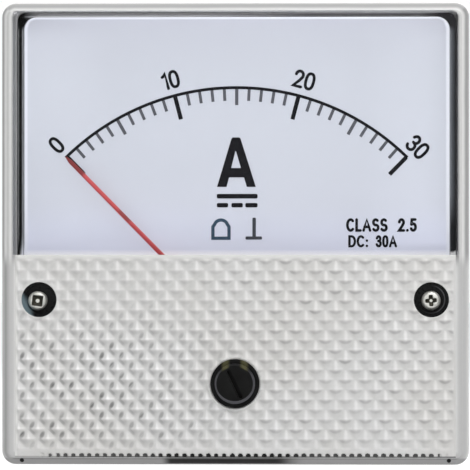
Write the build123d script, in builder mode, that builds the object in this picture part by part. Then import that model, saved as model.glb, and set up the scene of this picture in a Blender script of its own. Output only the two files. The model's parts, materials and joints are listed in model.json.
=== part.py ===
from build123d import *
from math import cos, pi, radians, sin
import os

# Analog panel meter: a square-fronted moving-coil ammeter for a round panel cut-out.
#
# Millimetres. +Z is up and +X is to the right, seen from the front. The front faces -Y.
# The origin is the centre of the barrel where it leaves the flange, so the panel's front
# face is the plane Y = 0, the cover stands in front of it and the barrel goes back through it.

os.makedirs("parts", exist_ok=True)

# ---------------------------------------------------------------- driving dimensions
# clear front cover
cover_w, cover_h = 80.0, 79.0      # outline
cover_r = 2.4                      # corner radius
cover_depth = 14.0                 # from the panel to the front face
cover_front_t = 2.0                # front wall
cover_bevel = 1.1                  # bevel round the front face
cavity_x = 38.1                    # half width of the inside
cavity_top, cavity_bottom = 38.4, -37.9
cavity_r = 1.4
field_x = 37.7                     # half width of the field of pyramids
field_top, field_bottom = -3.6, -38.05
field_rise = 0.35                  # mean height of the pyramids
well_x, well_z, well_r = 33.55, -11.25, 3.0
well_floor_front, well_floor_back = -10.0, -8.4
well_boss_r = 4.2
well_hole_r = 1.2
dimple_x, dimple_z, dimple_r = 36.55, -38.65, 0.4

# zero adjuster
adj_z = -25.6
adj_hole_r, adj_stem_r = 2.05, 2.0
adj_flange_r, adj_flange_t = 4.2, 0.5
adj_head_r, adj_head_t = 3.45, 1.2
adj_slot_w, adj_slot_len, adj_slot_depth = 0.7, 5.4, 0.8
adj_slot_lean = 25.5               # degrees, the slot's top leans to the left
adj_throw = 1.2                    # from the adjuster's axis to its eccentric pin
adj_pin_r = 0.6

# case
wall_x_out, wall_x_in = 37.9, 36.95
wall_top_out, wall_top_in = 38.25, 37.65
wall_bottom_out, wall_bottom_in = -37.75, -36.9
wall_front = -5.6
flange_t = 2.5
barrel_r, barrel_bore_r = 32.0, 30.0
barrel_back, barrel_floor = 27.0, 24.5
stud_pitch = 64.0                  # mounting studs, square pattern
stud_r, stud_collar_r, stud_len = 1.5, 1.7, 13.0
stud_head_af, stud_head_t = 5.5, 2.0

# dial
dial_front, dial_t = -5.5, 0.5
dial_x, dial_top, dial_bottom = 36.85, 37.55, -6.8
dial_corner_r = 2.2
dial_screw_x, dial_screw_z = 26.0, -19.5

# movement
pivot_z = -16.7                    # pointer axis
rest_deg = -45.0                   # pointer from straight up, at zero
pointer_len = 42.1
pointer_back, pointer_t = -7.05, 0.24
blade_lead = 0.5                   # the blade stands a little ahead of the cross arms, deg
core_r, core_front, core_back = 6.5, -2.6, 7.4
ring_in_r, ring_out_r = 8.8, 12.0
strap_t, strap_w = 0.8, 4.4
former_in_x, former_t, winding_t = 7.0, 0.3, 0.6
former_in_front, former_in_back = -3.9, 8.7
coil_w = 4.0
frame_front, frame_back = 8.2, 10.2
frame_r, frame_hole_r = 12.4, 9.0
ear_x, ear_r = 19.2, 3.8
pillar_x, pillar_r = 14.6, 2.0
bridge_front, bridge_back = -9.6, -8.6
rear_bridge_front, rear_bridge_back = 13.2, 14.4
bridge_w = 5.0
rear_bridge_w = 4.0
stop_radius, stop_deg, stop_pin_r = 10.0, 52.6, 0.4
ring_screw_r = 10.4                # from the pointer axis

# terminals
term_x, term_z = 14.0, 8.0
term_r, term_end = 3.0, 47.0
hex_af = 10.0

S = sin(radians(45))


def at_y(y):
    """A plane facing the front at depth y. Its local x is X and its local y is Z."""
    return Plane.XZ.offset(-y)


def about_pivot(y, deg=0.0):
    """A plane facing the front at depth y, centred on the pointer axis, turned by deg
    (positive as a clock's hand turns, seen from the front)."""
    a = radians(deg)
    return Plane(
        origin=(0, y, pivot_z), x_dir=(cos(a), 0, -sin(a)), z_dir=(0, -1, 0)
    )


both = [(-1, 1), (1, 1)]

# ================================================================ cover and adjuster

with BuildPart() as front_cover:
    with BuildSketch(at_y(0)):
        RectangleRounded(cover_w, cover_h, cover_r)
    extrude(amount=cover_depth)
    chamfer(faces().sort_by(Axis.Y)[0].edges(), cover_bevel)
    # the inside, open to the back
    with BuildSketch(at_y(0)):
        with Locations((0, (cavity_top + cavity_bottom) / 2)):
            RectangleRounded(2 * cavity_x, cavity_top - cavity_bottom, cavity_r)
    extrude(amount=cover_depth - cover_front_t, mode=Mode.SUBTRACT)
    # the raised field in the lower half
    with BuildSketch(at_y(-cover_depth)):
        with Locations((0, (field_top + field_bottom) / 2)):
            RectangleRounded(2 * field_x, field_top - field_bottom, 0.6)
    extrude(amount=field_rise)
    # a boss behind each screw well
    with BuildSketch(at_y(well_floor_back)):
        with Locations(*[(s * well_x, well_z) for s, _ in both]):
            Circle(well_boss_r)
    extrude(amount=cover_depth - cover_front_t + well_floor_back)
    # the two screw wells and the holes in their floors
    with BuildSketch(at_y(well_floor_front)):
        with Locations(*[(s * well_x, well_z) for s, _ in both]):
            Circle(well_r)
    extrude(amount=8, mode=Mode.SUBTRACT)
    with BuildSketch(at_y(well_floor_back + 1)):
        with Locations(*[(s * well_x, well_z) for s, _ in both]):
            Circle(well_hole_r)
    extrude(amount=4, mode=Mode.SUBTRACT)
    # the adjuster's hole, and a round seat for its flange in the field
    with BuildSketch(at_y(-cover_depth)):
        with Locations((0, adj_z)):
            Circle(adj_flange_r + 0.15)
    extrude(amount=2, mode=Mode.SUBTRACT)
    with BuildSketch(at_y(0)):
        with Locations((0, adj_z)):
            Circle(adj_hole_r)
    extrude(amount=16, mode=Mode.SUBTRACT)
    # two small dimples in the bottom bevel
    with BuildSketch(at_y(-cover_depth + 1.0)):
        with Locations(*[(s * dimple_x, dimple_z) for s, _ in both]):
            Circle(dimple_r)
    extrude(amount=2, mode=Mode.SUBTRACT)
front_cover.part.label = "front_cover"
export_step(front_cover.part, "parts/front_cover.step")

with BuildPart() as cover_screws:
    with BuildSketch(at_y(well_floor_front)):
        with Locations(*[(s * well_x, well_z) for s, _ in both]):
            Circle(1.65)
    extrude(amount=1.2)
    fillet(edges().filter_by(GeomType.CIRCLE).group_by(Axis.Y)[0], 0.45)
    with BuildSketch(at_y(well_floor_front + 8.0)):
        with Locations(*[(s * well_x, well_z) for s, _ in both]):
            Circle(1.0)
    extrude(amount=8.0)
    # cross recess
    with BuildSketch(at_y(well_floor_front - 0.45)):
        with Locations(*[(s * well_x, well_z) for s, _ in both]):
            Rectangle(1.9, 0.42)
            Rectangle(0.42, 1.9)
    extrude(amount=1.5, mode=Mode.SUBTRACT)
cover_screws.part.label = "cover_screws"
export_step(cover_screws.part, "parts/cover_screws.step")

with BuildPart() as zero_adjuster:
    with BuildSketch(at_y(-cover_depth)):
        with Locations((0, adj_z)):
            Circle(adj_flange_r)
    extrude(amount=adj_flange_t)
    fillet(edges().filter_by(GeomType.CIRCLE).group_by(Axis.Y)[0], 0.2)
    with BuildSketch(at_y(-cover_depth - adj_flange_t)):
        with Locations((0, adj_z)):
            Circle(adj_head_r)
    extrude(amount=adj_head_t)
    chamfer(edges().filter_by(GeomType.CIRCLE).group_by(Axis.Y)[0], 0.3)
    with BuildSketch(at_y(-cover_depth - adj_flange_t - adj_head_t + adj_slot_depth)):
        with Locations((0, adj_z)):
            SlotOverall(adj_slot_len, adj_slot_w, rotation=90 + adj_slot_lean)
    extrude(amount=2, mode=Mode.SUBTRACT)
    # stem, with a groove for the clip behind the front wall
    with BuildSketch(at_y(-11.3)):
        with Locations((0, adj_z)):
            Circle(adj_stem_r)
    extrude(amount=cover_depth - 11.3)
    with BuildSketch(at_y(-11.48)):
        with Locations((0, adj_z)):
            Circle(adj_stem_r + 0.5)
            Circle(1.6, mode=Mode.SUBTRACT)
    extrude(amount=0.49, mode=Mode.SUBTRACT)
    # eccentric pin
    with BuildSketch(at_y(-9.5)):
        with Locations((0, adj_z + adj_throw)):
            Circle(adj_pin_r)
    extrude(amount=1.8)
zero_adjuster.part.label = "zero_adjuster"
export_step(zero_adjuster.part, "parts/zero_adjuster.step")

with BuildPart() as adjuster_clip:
    with BuildSketch(at_y(-11.5)):
        with Locations((0, adj_z)):
            Circle(3.0)
            Circle(1.63, mode=Mode.SUBTRACT)
        with Locations((0, adj_z - 2.4)):
            Rectangle(2.2, 2.6, mode=Mode.SUBTRACT)
    extrude(amount=0.45)
adjuster_clip.part.label = "adjuster_clip"
export_step(adjuster_clip.part, "parts/adjuster_clip.step")

# ================================================================ case and panel studs

wall_zc_out = (wall_top_out + wall_bottom_out) / 2
wall_zc_in = (wall_top_in + wall_bottom_in) / 2
stud_points = [(i * stud_pitch / 2, j * stud_pitch / 2) for i in (-1, 1) for j in (-1, 1)]

with BuildPart() as base_case:
    # square flange with a thin wall round it
    with BuildSketch(at_y(0)):
        with Locations((0, wall_zc_out)):
            RectangleRounded(2 * wall_x_out, wall_top_out - wall_bottom_out, 1.3)
    extrude(amount=-wall_front)
    with BuildSketch(at_y(-flange_t)):
        with Locations((0, wall_zc_in)):
            RectangleRounded(2 * wall_x_in, wall_top_in - wall_bottom_in, 2.3)
    extrude(amount=5, mode=Mode.SUBTRACT)
    # bosses for the panel studs, the cover screws and the dial screws
    with BuildSketch(at_y(-flange_t)):
        with Locations(*stud_points):
            Circle(3.6)
        with Locations(*[(s * dial_screw_x, dial_screw_z) for s, _ in both]):
            Circle(2.4)
    extrude(amount=dial_t - dial_front - flange_t - 2 * dial_t)
    with BuildSketch(at_y(-flange_t)):
        with Locations(*[(s * well_x, well_z) for s, _ in both]):
            Circle(3.2)
    extrude(amount=-well_floor_back - flange_t)
    # barrel
    with BuildSketch(at_y(barrel_back)):
        Circle(barrel_r)
    extrude(amount=barrel_back)
    chamfer(edges().filter_by(GeomType.CIRCLE).group_by(Axis.Y)[-1], 0.7)
    with BuildSketch(at_y(barrel_floor)):
        Circle(barrel_bore_r)
    extrude(amount=barrel_floor + 3, mode=Mode.SUBTRACT)
    # inside the barrel: seats for the shunt and posts for the movement
    with BuildSketch(at_y(barrel_floor)):
        with Locations(*[(s * term_x, term_z) for s, _ in both]):
            Circle(6.5)
    extrude(amount=2.0)
    with BuildSketch(at_y(barrel_floor)):
        with Locations(*[(s * ear_x, pivot_z) for s, _ in both]):
            Circle(2.4)
    extrude(amount=barrel_floor - frame_back)
    # polarity signs on the back
    with BuildSketch(at_y(barrel_back + 0.4)):
        with Locations((term_x, term_z + 11)):
            Rectangle(4.2, 1.1)
            Rectangle(1.1, 4.2)
        with Locations((-term_x, term_z + 11)):
            Rectangle(4.2, 1.1)
    extrude(amount=0.4)
    # holes: captive stud heads, cover screws, dial screws, movement screws, terminals
    with BuildSketch(at_y(-stud_head_t)):
        with Locations(*stud_points):
            RegularPolygon(stud_head_af / 2 + 0.05, 6, major_radius=False)
    extrude(amount=4, mode=Mode.SUBTRACT)
    with BuildSketch(at_y(1)):
        with Locations(*stud_points):
            Circle(stud_collar_r + 0.03)
    extrude(amount=4, mode=Mode.SUBTRACT)
    with BuildSketch(at_y(-1.0)):
        with Locations(*[(s * well_x, well_z) for s, _ in both]):
            Circle(1.02)
    extrude(amount=8, mode=Mode.SUBTRACT)
    with BuildSketch(at_y(-0.8)):
        with Locations(*[(s * dial_screw_x, dial_screw_z) for s, _ in both]):
            Circle(1.02)
    extrude(amount=5, mode=Mode.SUBTRACT)
    with BuildSketch(at_y(17.5)):
        with Locations(*[(s * ear_x, pivot_z) for s, _ in both]):
            Circle(1.27)
    extrude(amount=8, mode=Mode.SUBTRACT)
    with BuildSketch(at_y(barrel_back + 1)):
        with Locations(*[(s * term_x, term_z) for s, _ in both]):
            Circle(term_r + 0.1)
    extrude(amount=6, mode=Mode.SUBTRACT)
base_case.part.label = "base_case"
export_step(base_case.part, "parts/base_case.step")

with BuildPart() as mounting_studs:
    with BuildSketch(at_y(-stud_head_t)):
        with Locations(*stud_points):
            RegularPolygon(stud_head_af / 2, 6, major_radius=False)
    extrude(amount=stud_head_t)
    with BuildSketch(at_y(0)):
        with Locations(*stud_points):
            Circle(stud_collar_r)
    extrude(amount=stud_head_t)
    with BuildSketch(at_y(stud_len)):
        with Locations(*stud_points):
            Circle(stud_r)
    extrude(amount=stud_len)
    chamfer(edges().filter_by(GeomType.CIRCLE).group_by(Axis.Y)[-1], 0.3)
mounting_studs.part.label = "mounting_studs"
export_step(mounting_studs.part, "parts/mounting_studs.step")

# ================================================================ dial

with BuildPart() as dial_plate:
    with BuildSketch(at_y(dial_front + dial_t)) as dial_outline:
        with Locations((0, (dial_top + dial_bottom) / 2)):
            Rectangle(2 * dial_x, dial_top - dial_bottom)
        fillet(vertices().group_by(Axis.Y)[-1], dial_corner_r)
        with Locations(*[(s * 24.5, (dial_bottom - 22.5) / 2) for s, _ in both]):
            Rectangle(9.0, 22.5 + dial_bottom + 0.01)
        with Locations(*[(s * dial_screw_x, dial_screw_z) for s, _ in both]):
            Circle(1.1, mode=Mode.SUBTRACT)
    extrude(amount=dial_t)
dial_plate.part.label = "dial_plate"
export_step(dial_plate.part, "parts/dial_plate.step")

with BuildPart() as dial_screws:
    with BuildSketch(at_y(dial_front)):
        with Locations(*[(s * dial_screw_x, dial_screw_z) for s, _ in both]):
            Circle(1.9)
    extrude(amount=1.2)
    fillet(edges().filter_by(GeomType.CIRCLE).group_by(Axis.Y)[0], 0.5)
    with BuildSketch(at_y(-1.3)):
        with Locations(*[(s * dial_screw_x, dial_screw_z) for s, _ in both]):
            Circle(1.0)
    extrude(amount=-1.3 - dial_front)
    with BuildSketch(at_y(dial_front - 0.6)):
        with Locations(*[(s * dial_screw_x, dial_screw_z) for s, _ in both]):
            Rectangle(4.2, 0.5)
    extrude(amount=1, mode=Mode.SUBTRACT)
dial_screws.part.label = "dial_screws"
export_step(dial_screws.part, "parts/dial_screws.step")

# ================================================================ moving system
# The pointer's own plane has its local y along the pointer, which rests at zero.

with BuildPart() as pointer:
    with BuildSketch(about_pivot(pointer_back, rest_deg + blade_lead)):
        with BuildLine():
            Polyline(
                (-0.55, 1.2), (-0.40, 12.0), (-0.37, 24.0), (-0.36, pointer_len - 1.2),
                (-0.08, pointer_len), (0.08, pointer_len), (0.36, pointer_len - 1.2),
                (0.37, 24.0), (0.40, 12.0), (0.55, 1.2), (-0.55, 1.2),
            )
        make_face()
        Circle(1.6)
        Circle(0.83, mode=Mode.SUBTRACT)
    extrude(amount=pointer_t)
pointer.part.label = "pointer"
export_step(pointer.part, "parts/pointer.step")

arm_len, tail_len, arm_y = 7.6, 9.0, -6.72
arm_r = 0.2

with BuildPart() as pointer_hub:
    with BuildSketch(about_pivot(-6.4, rest_deg)):
        Circle(1.4)
    extrude(amount=-6.4 - pointer_back)
    with BuildSketch(about_pivot(pointer_back, rest_deg)):
        Circle(0.8)
    extrude(amount=0.65)
    # two cross arms and a tail
    with BuildSketch(Plane(origin=(0, arm_y, pivot_z), x_dir=(0, 1, 0), z_dir=(S, 0, S))):
        Circle(arm_r)
    extrude(amount=arm_len, both=True)
    with BuildSketch(Plane(origin=(0, arm_y, pivot_z), x_dir=(0, 1, 0), z_dir=(S, 0, -S))):
        Circle(arm_r)
    extrude(amount=tail_len)
    with BuildSketch(about_pivot(-6.0, rest_deg)):
        Circle(0.505)
    extrude(amount=3, mode=Mode.SUBTRACT)
pointer_hub.part.label = "pointer_hub"
export_step(pointer_hub.part, "parts/pointer_hub.step")

# the tail's weight balances the pointer about its axis
weight_r, tail_weight_r, weight_hole_r = 0.8, 0.95, 0.21
arm_weight_at, arm_weight_len = 5.6, 1.2
arm_weight_shift = 0.11            # evens out the blade's lead
tail_weight_at, tail_weight_len = 6.2, 2.4

with BuildPart() as balance_weights:
    with BuildSketch(
        Plane(
            origin=(
                S * (arm_weight_at - arm_weight_shift), arm_y,
                pivot_z + S * (arm_weight_at - arm_weight_shift),
            ),
            x_dir=(0, 1, 0), z_dir=(S, 0, S),
        )
    ):
        Circle(weight_r)
        Circle(weight_hole_r, mode=Mode.SUBTRACT)
    extrude(amount=arm_weight_len)
    with BuildSketch(
        Plane(
            origin=(
                -S * (arm_weight_at + arm_weight_shift), arm_y,
                pivot_z - S * (arm_weight_at + arm_weight_shift),
            ),
            x_dir=(0, 1, 0), z_dir=(-S, 0, -S),
        )
    ):
        Circle(weight_r)
        Circle(weight_hole_r, mode=Mode.SUBTRACT)
    extrude(amount=arm_weight_len)
    with BuildSketch(
        Plane(
            origin=(S * tail_weight_at, arm_y, pivot_z - S * tail_weight_at),
            x_dir=(0, 1, 0), z_dir=(S, 0, -S),
        )
    ):
        Circle(tail_weight_r)
        Circle(weight_hole_r, mode=Mode.SUBTRACT)
    extrude(amount=tail_weight_len)
balance_weights.part.label = "balance_weights"
export_step(balance_weights.part, "parts/balance_weights.step")

# the coil's plane: local x along the cross bar, local y along Y
coil_plane = Plane(origin=(0, 0, pivot_z), x_dir=(S, 0, S), z_dir=(-S, 0, S))
coil_yc = (former_in_front + former_in_back) / 2
coil_len = former_in_back - former_in_front

with BuildPart() as coil_former:
    with BuildSketch(coil_plane):
        with Locations((0, coil_yc)):
            RectangleRounded(2 * (former_in_x + former_t), coil_len + 2 * former_t, 0.8)
            RectangleRounded(2 * former_in_x, coil_len, 0.5, mode=Mode.SUBTRACT)
    extrude(amount=coil_w / 2, both=True)
coil_former.part.label = "coil_former"
export_step(coil_former.part, "parts/coil_former.step")

with BuildPart() as coil_winding:
    with BuildSketch(coil_plane):
        with Locations((0, coil_yc)):
            RectangleRounded(
                2 * (former_in_x + former_t + winding_t),
                coil_len + 2 * (former_t + winding_t), 1.4,
            )
            RectangleRounded(
                2 * (former_in_x + former_t), coil_len + 2 * former_t, 0.8,
                mode=Mode.SUBTRACT,
            )
    extrude(amount=coil_w / 2 - 0.25, both=True)
coil_winding.part.label = "coil_winding"
export_step(coil_winding.part, "parts/coil_winding.step")

coil_front = former_in_front - former_t - winding_t      # -4.8
coil_back = former_in_back + former_t + winding_t        # 9.6

with BuildPart() as spindle_front:
    with BuildSketch(about_pivot(coil_front, rest_deg)):
        RectangleRounded(5.0, 3.2, 0.5)
    extrude(amount=0.3)
    with BuildSketch(about_pivot(coil_front, rest_deg)):
        Circle(0.5)
    extrude(amount=3.65)
    # spring collet
    with BuildSketch(about_pivot(-7.85, rest_deg)):
        Circle(0.93)
    extrude(amount=0.45)
    # pivot point
    with BuildSketch(about_pivot(coil_front - 3.65, rest_deg)):
        Circle(0.5)
    with BuildSketch(about_pivot(coil_front - 4.08, rest_deg)):
        Circle(0.06)
    loft()
spindle_front.part.label = "spindle_front"
export_step(spindle_front.part, "parts/spindle_front.step")

with BuildPart() as spindle_rear:
    with BuildSketch(about_pivot(coil_back + 0.3, rest_deg)):
        RectangleRounded(5.0, 3.2, 0.5)
    extrude(amount=0.3)
    with BuildSketch(about_pivot(13.1, rest_deg)):
        Circle(0.5)
    extrude(amount=13.1 - coil_back)
    with BuildSketch(about_pivot(11.65, rest_deg)):
        Circle(0.93)
    extrude(amount=0.45)
    with BuildSketch(about_pivot(13.1, rest_deg)):
        Circle(0.5)
    with BuildSketch(about_pivot(13.53, rest_deg)):
        Circle(0.06)
    loft()
spindle_rear.part.label = "spindle_rear"
export_step(spindle_rear.part, "parts/spindle_rear.step")

# ================================================================ hairsprings and zero lever

spring_in_r, spring_turns, spring_t = 1.0, 4.25, 0.12


def spiral(r_out, offset, sign):
    """Points on one edge of a flat spiral that ends straight above the pointer axis."""
    n = int(spring_turns * 14)
    pts = []
    for i in range(n + 1):
        t = i / n
        r = spring_in_r + (r_out - spring_in_r) * t + offset
        a = pi / 2 + sign * 2 * pi * spring_turns * (t - 1)
        pts.append((r * cos(a), r * sin(a)))
    return pts


with BuildPart() as front_hairspring:
    with BuildSketch(about_pivot(-7.88)):
        with BuildLine():
            outer = Spline(*spiral(4.1, spring_t / 2, 1))
            inner = Spline(*spiral(4.1, -spring_t / 2, 1))
            Line(outer @ 0, inner @ 0)
            Line(outer @ 1, inner @ 1)
        make_face()
    extrude(amount=0.4)
front_hairspring.part.label = "front_hairspring"
export_step(front_hairspring.part, "parts/front_hairspring.step")

with BuildPart() as rear_hairspring:
    with BuildSketch(about_pivot(11.62)):
        with BuildLine():
            outer = Spline(*spiral(4.2, spring_t / 2, -1))
            inner = Spline(*spiral(4.2, -spring_t / 2, -1))
            Line(outer @ 0, inner @ 0)
            Line(outer @ 1, inner @ 1)
        make_face()
    extrude(amount=0.4)
rear_hairspring.part.label = "rear_hairspring"
export_step(rear_hairspring.part, "parts/rear_hairspring.step")

lever_front, lever_back = -10.1, -9.7
fork_half = adj_pin_r + 0.12

with BuildPart() as zero_lever:
    with BuildSketch(about_pivot(lever_back)):
        Circle(3.0)
        with Locations((0, -5.2)):
            Rectangle(2 * (fork_half + 0.9), 10.4)
        with Locations((0, 2.4)):
            Rectangle(1.0, 4.8)
        with Locations((0, -8.5)):
            Rectangle(2 * fork_half, 3.8, mode=Mode.SUBTRACT)
        with Locations((0, -6.6)):
            Circle(fork_half, mode=Mode.SUBTRACT)
        Circle(1.55, mode=Mode.SUBTRACT)
    extrude(amount=lever_back - lever_front)
    # the tab that holds the hairspring's outer end
    with BuildSketch(about_pivot(-7.9)):
        with Locations((0, 4.5)):
            Rectangle(1.0, 0.6)
    extrude(amount=-7.9 - lever_back)
zero_lever.part.label = "zero_lever"
export_step(zero_lever.part, "parts/zero_lever.step")

# ================================================================ bridges and bearings

with BuildPart() as front_bridge:
    with BuildSketch(about_pivot(bridge_back)):
        SlotCenterToCenter(2 * pillar_x, bridge_w)
        # two ears for the stop pins
        with Locations(
            *[
                (s * stop_radius * sin(radians(stop_deg)), stop_radius * cos(radians(stop_deg)) / 2 + 0.5)
                for s, _ in both
            ]
        ):
            RectangleRounded(2.2, stop_radius * cos(radians(stop_deg)) + 1.6, 0.6)
        with Locations(*[(s * pillar_x, 0) for s, _ in both]):
            Circle(1.05, mode=Mode.SUBTRACT)
        with Locations(
            *[
                (s * stop_radius * sin(radians(stop_deg)), stop_radius * cos(radians(stop_deg)))
                for s, _ in both
            ]
        ):
            Circle(stop_pin_r + 0.01, mode=Mode.SUBTRACT)
        Circle(1.51, mode=Mode.SUBTRACT)
    extrude(amount=bridge_back - bridge_front)
front_bridge.part.label = "front_bridge"
export_step(front_bridge.part, "parts/front_bridge.step")

with BuildPart() as stop_pins:
    with BuildSketch(about_pivot(-6.5)):
        with Locations(
            *[
                (s * stop_radius * sin(radians(stop_deg)), stop_radius * cos(radians(stop_deg)))
                for s, _ in both
            ]
        ):
            Circle(stop_pin_r)
    extrude(amount=-6.5 - bridge_front)
stop_pins.part.label = "stop_pins"
export_step(stop_pins.part, "parts/stop_pins.step")

with BuildPart() as rear_bridge:
    with BuildSketch(about_pivot(rear_bridge_back)):
        SlotCenterToCenter(2 * pillar_x, rear_bridge_w)
        with Locations((0, 2.9)):
            RectangleRounded(2.4, 5.8, 0.6)
        with Locations(*[(s * pillar_x, 0) for s, _ in both]):
            Circle(1.05, mode=Mode.SUBTRACT)
        with Locations((0, 4.7)):
            Circle(0.42, mode=Mode.SUBTRACT)
        Circle(1.51, mode=Mode.SUBTRACT)
    extrude(amount=rear_bridge_back - rear_bridge_front)
rear_bridge.part.label = "rear_bridge"
export_step(rear_bridge.part, "parts/rear_bridge.step")

with BuildPart() as rear_spring_post:
    with BuildSketch(about_pivot(15.4)):
        with Locations((0, 4.7)):
            Circle(0.4)
    extrude(amount=4.4)
rear_spring_post.part.label = "rear_spring_post"
export_step(rear_spring_post.part, "parts/rear_spring_post.step")

with BuildPart() as front_jewel_screw:
    with BuildSketch(about_pivot(-8.45)):
        Circle(1.5)
    extrude(amount=2.75)
    with BuildSketch(about_pivot(-8.45)):
        Circle(0.6)
    extrude(amount=0.85, mode=Mode.SUBTRACT)
    with BuildSketch(about_pivot(-10.75, 20)):
        Rectangle(4, 0.5)
    extrude(amount=1, mode=Mode.SUBTRACT)
front_jewel_screw.part.label = "front_jewel_screw"
export_step(front_jewel_screw.part, "parts/front_jewel_screw.step")

with BuildPart() as rear_jewel_screw:
    with BuildSketch(about_pivot(16.6)):
        Circle(1.5)
    extrude(amount=3.5)
    with BuildSketch(about_pivot(13.95)):
        Circle(0.6)
    extrude(amount=2, mode=Mode.SUBTRACT)
    with BuildSketch(about_pivot(17.1, 35)):
        Rectangle(4, 0.5)
    extrude(amount=1, mode=Mode.SUBTRACT)
rear_jewel_screw.part.label = "rear_jewel_screw"
export_step(rear_jewel_screw.part, "parts/rear_jewel_screw.step")

with BuildPart() as jewels:
    with BuildSketch(about_pivot(-8.7)):
        Circle(0.59)
    extrude(amount=0.6)
    with BuildSketch(about_pivot(13.95)):
        Circle(0.59)
    extrude(amount=0.6)
    # the cups that the pivot points turn in
    with BuildSketch(about_pivot(-8.7)):
        Circle(0.35)
    with BuildSketch(about_pivot(-8.98)):
        Circle(0.05)
    loft(mode=Mode.SUBTRACT)
    with BuildSketch(about_pivot(13.35)):
        Circle(0.35)
    with BuildSketch(about_pivot(13.63)):
        Circle(0.05)
    loft(mode=Mode.SUBTRACT)
jewels.part.label = "jewels"
export_step(jewels.part, "parts/jewels.step")

with BuildPart() as lock_nuts:
    with BuildSketch(about_pivot(-10.2)):
        RegularPolygon(2.5, 6, major_radius=False)
        Circle(1.51, mode=Mode.SUBTRACT)
    extrude(amount=0.7)
    with BuildSketch(about_pivot(15.6)):
        RegularPolygon(2.5, 6, major_radius=False)
        Circle(1.51, mode=Mode.SUBTRACT)
    extrude(amount=1.2)
lock_nuts.part.label = "lock_nuts"
export_step(lock_nuts.part, "parts/lock_nuts.step")

with BuildPart() as bridge_pillars:
    with BuildSketch(about_pivot(frame_front)):
        with Locations(*[(s * pillar_x, 0) for s, _ in both]):
            Circle(pillar_r)
            Circle(1.05, mode=Mode.SUBTRACT)
    extrude(amount=frame_front - bridge_back)
bridge_pillars.part.label = "bridge_pillars"
export_step(bridge_pillars.part, "parts/bridge_pillars.step")

with BuildPart() as bridge_spacers:
    with BuildSketch(about_pivot(rear_bridge_front)):
        with Locations(*[(s * pillar_x, 0) for s, _ in both]):
            Circle(pillar_r)
            Circle(1.05, mode=Mode.SUBTRACT)
    extrude(amount=rear_bridge_front - frame_back)
bridge_spacers.part.label = "bridge_spacers"
export_step(bridge_spacers.part, "parts/bridge_spacers.step")

with BuildPart() as bridge_screws:
    with BuildSketch(about_pivot(bridge_front)):
        with Locations(*[(s * pillar_x, 0) for s, _ in both]):
            Circle(1.8)
    extrude(amount=1.1)
    fillet(edges().filter_by(GeomType.CIRCLE).group_by(Axis.Y)[0], 0.4)
    with BuildSketch(about_pivot(16.4)):
        with Locations(*[(s * pillar_x, 0) for s, _ in both]):
            Circle(1.0)
    extrude(amount=16.4 - bridge_front)
    with BuildSketch(about_pivot(bridge_front - 0.6)):
        with Locations(*[(s * pillar_x, 0) for s, _ in both]):
            Rectangle(0.5, 4.2)
    extrude(amount=1, mode=Mode.SUBTRACT)
bridge_screws.part.label = "bridge_screws"
export_step(bridge_screws.part, "parts/bridge_screws.step")

with BuildPart() as bridge_nuts:
    with BuildSketch(about_pivot(rear_bridge_back + 1.6)):
        with Locations(*[(s * pillar_x, 0) for s, _ in both]):
            RegularPolygon(2.0, 6, major_radius=False, rotation=30)
            Circle(1.02, mode=Mode.SUBTRACT)
    extrude(amount=1.6)
bridge_nuts.part.label = "bridge_nuts"
export_step(bridge_nuts.part, "parts/bridge_nuts.step")

# ================================================================ magnet and frame

with BuildPart() as magnet_core:
    with BuildSketch(about_pivot(core_back)):
        Circle(core_r)
        Circle(0.92, mode=Mode.SUBTRACT)
    extrude(amount=core_back - core_front)
magnet_core.part.label = "magnet_core"
export_step(magnet_core.part, "parts/magnet_core.step")

with BuildPart() as return_ring:
    with BuildSketch(about_pivot(core_back)):
        Circle(ring_out_r)
        Circle(ring_in_r, mode=Mode.SUBTRACT)
        with Locations((0, ring_screw_r), (0, -ring_screw_r)):
            Circle(0.82, mode=Mode.SUBTRACT)
    extrude(amount=core_back - core_front)
return_ring.part.label = "return_ring"
export_step(return_ring.part, "parts/return_ring.step")

with BuildPart() as core_strap_front:
    with BuildSketch(about_pivot(core_front)):
        RectangleRounded(strap_w, 2 * (ring_out_r - 0.3), 0.8)
        Circle(0.92, mode=Mode.SUBTRACT)
        with Locations((0, ring_screw_r), (0, -ring_screw_r)):
            Circle(0.82, mode=Mode.SUBTRACT)
    extrude(amount=strap_t)
core_strap_front.part.label = "core_strap_front"
export_step(core_strap_front.part, "parts/core_strap_front.step")

with BuildPart() as core_strap_rear:
    with BuildSketch(about_pivot(core_back + strap_t)):
        RectangleRounded(strap_w, 2 * (ring_out_r - 0.3), 0.8)
        Circle(0.92, mode=Mode.SUBTRACT)
        with Locations((0, ring_screw_r), (0, -ring_screw_r)):
            Circle(0.82, mode=Mode.SUBTRACT)
    extrude(amount=strap_t)
core_strap_rear.part.label = "core_strap_rear"
export_step(core_strap_rear.part, "parts/core_strap_rear.step")

with BuildPart() as core_rivet:
    with BuildSketch(about_pivot(core_back + strap_t)):
        Circle(0.9)
    extrude(amount=core_back - core_front + 2 * strap_t)
    with BuildSketch(about_pivot(core_front - strap_t)):
        Circle(1.5)
    extrude(amount=0.22)
    with BuildSketch(about_pivot(core_back + strap_t + 0.22)):
        Circle(1.5)
    extrude(amount=0.22)
core_rivet.part.label = "core_rivet"
export_step(core_rivet.part, "parts/core_rivet.step")

with BuildPart() as strap_screws:
    with BuildSketch(about_pivot(core_front - strap_t)):
        with Locations((0, ring_screw_r), (0, -ring_screw_r)):
            Circle(1.25)
    extrude(amount=0.8)
    with BuildSketch(about_pivot(0.4)):
        with Locations((0, ring_screw_r), (0, -ring_screw_r)):
            Circle(0.8)
    extrude(amount=0.4 - core_front + strap_t)
strap_screws.part.label = "strap_screws"
export_step(strap_screws.part, "parts/strap_screws.step")

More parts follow.
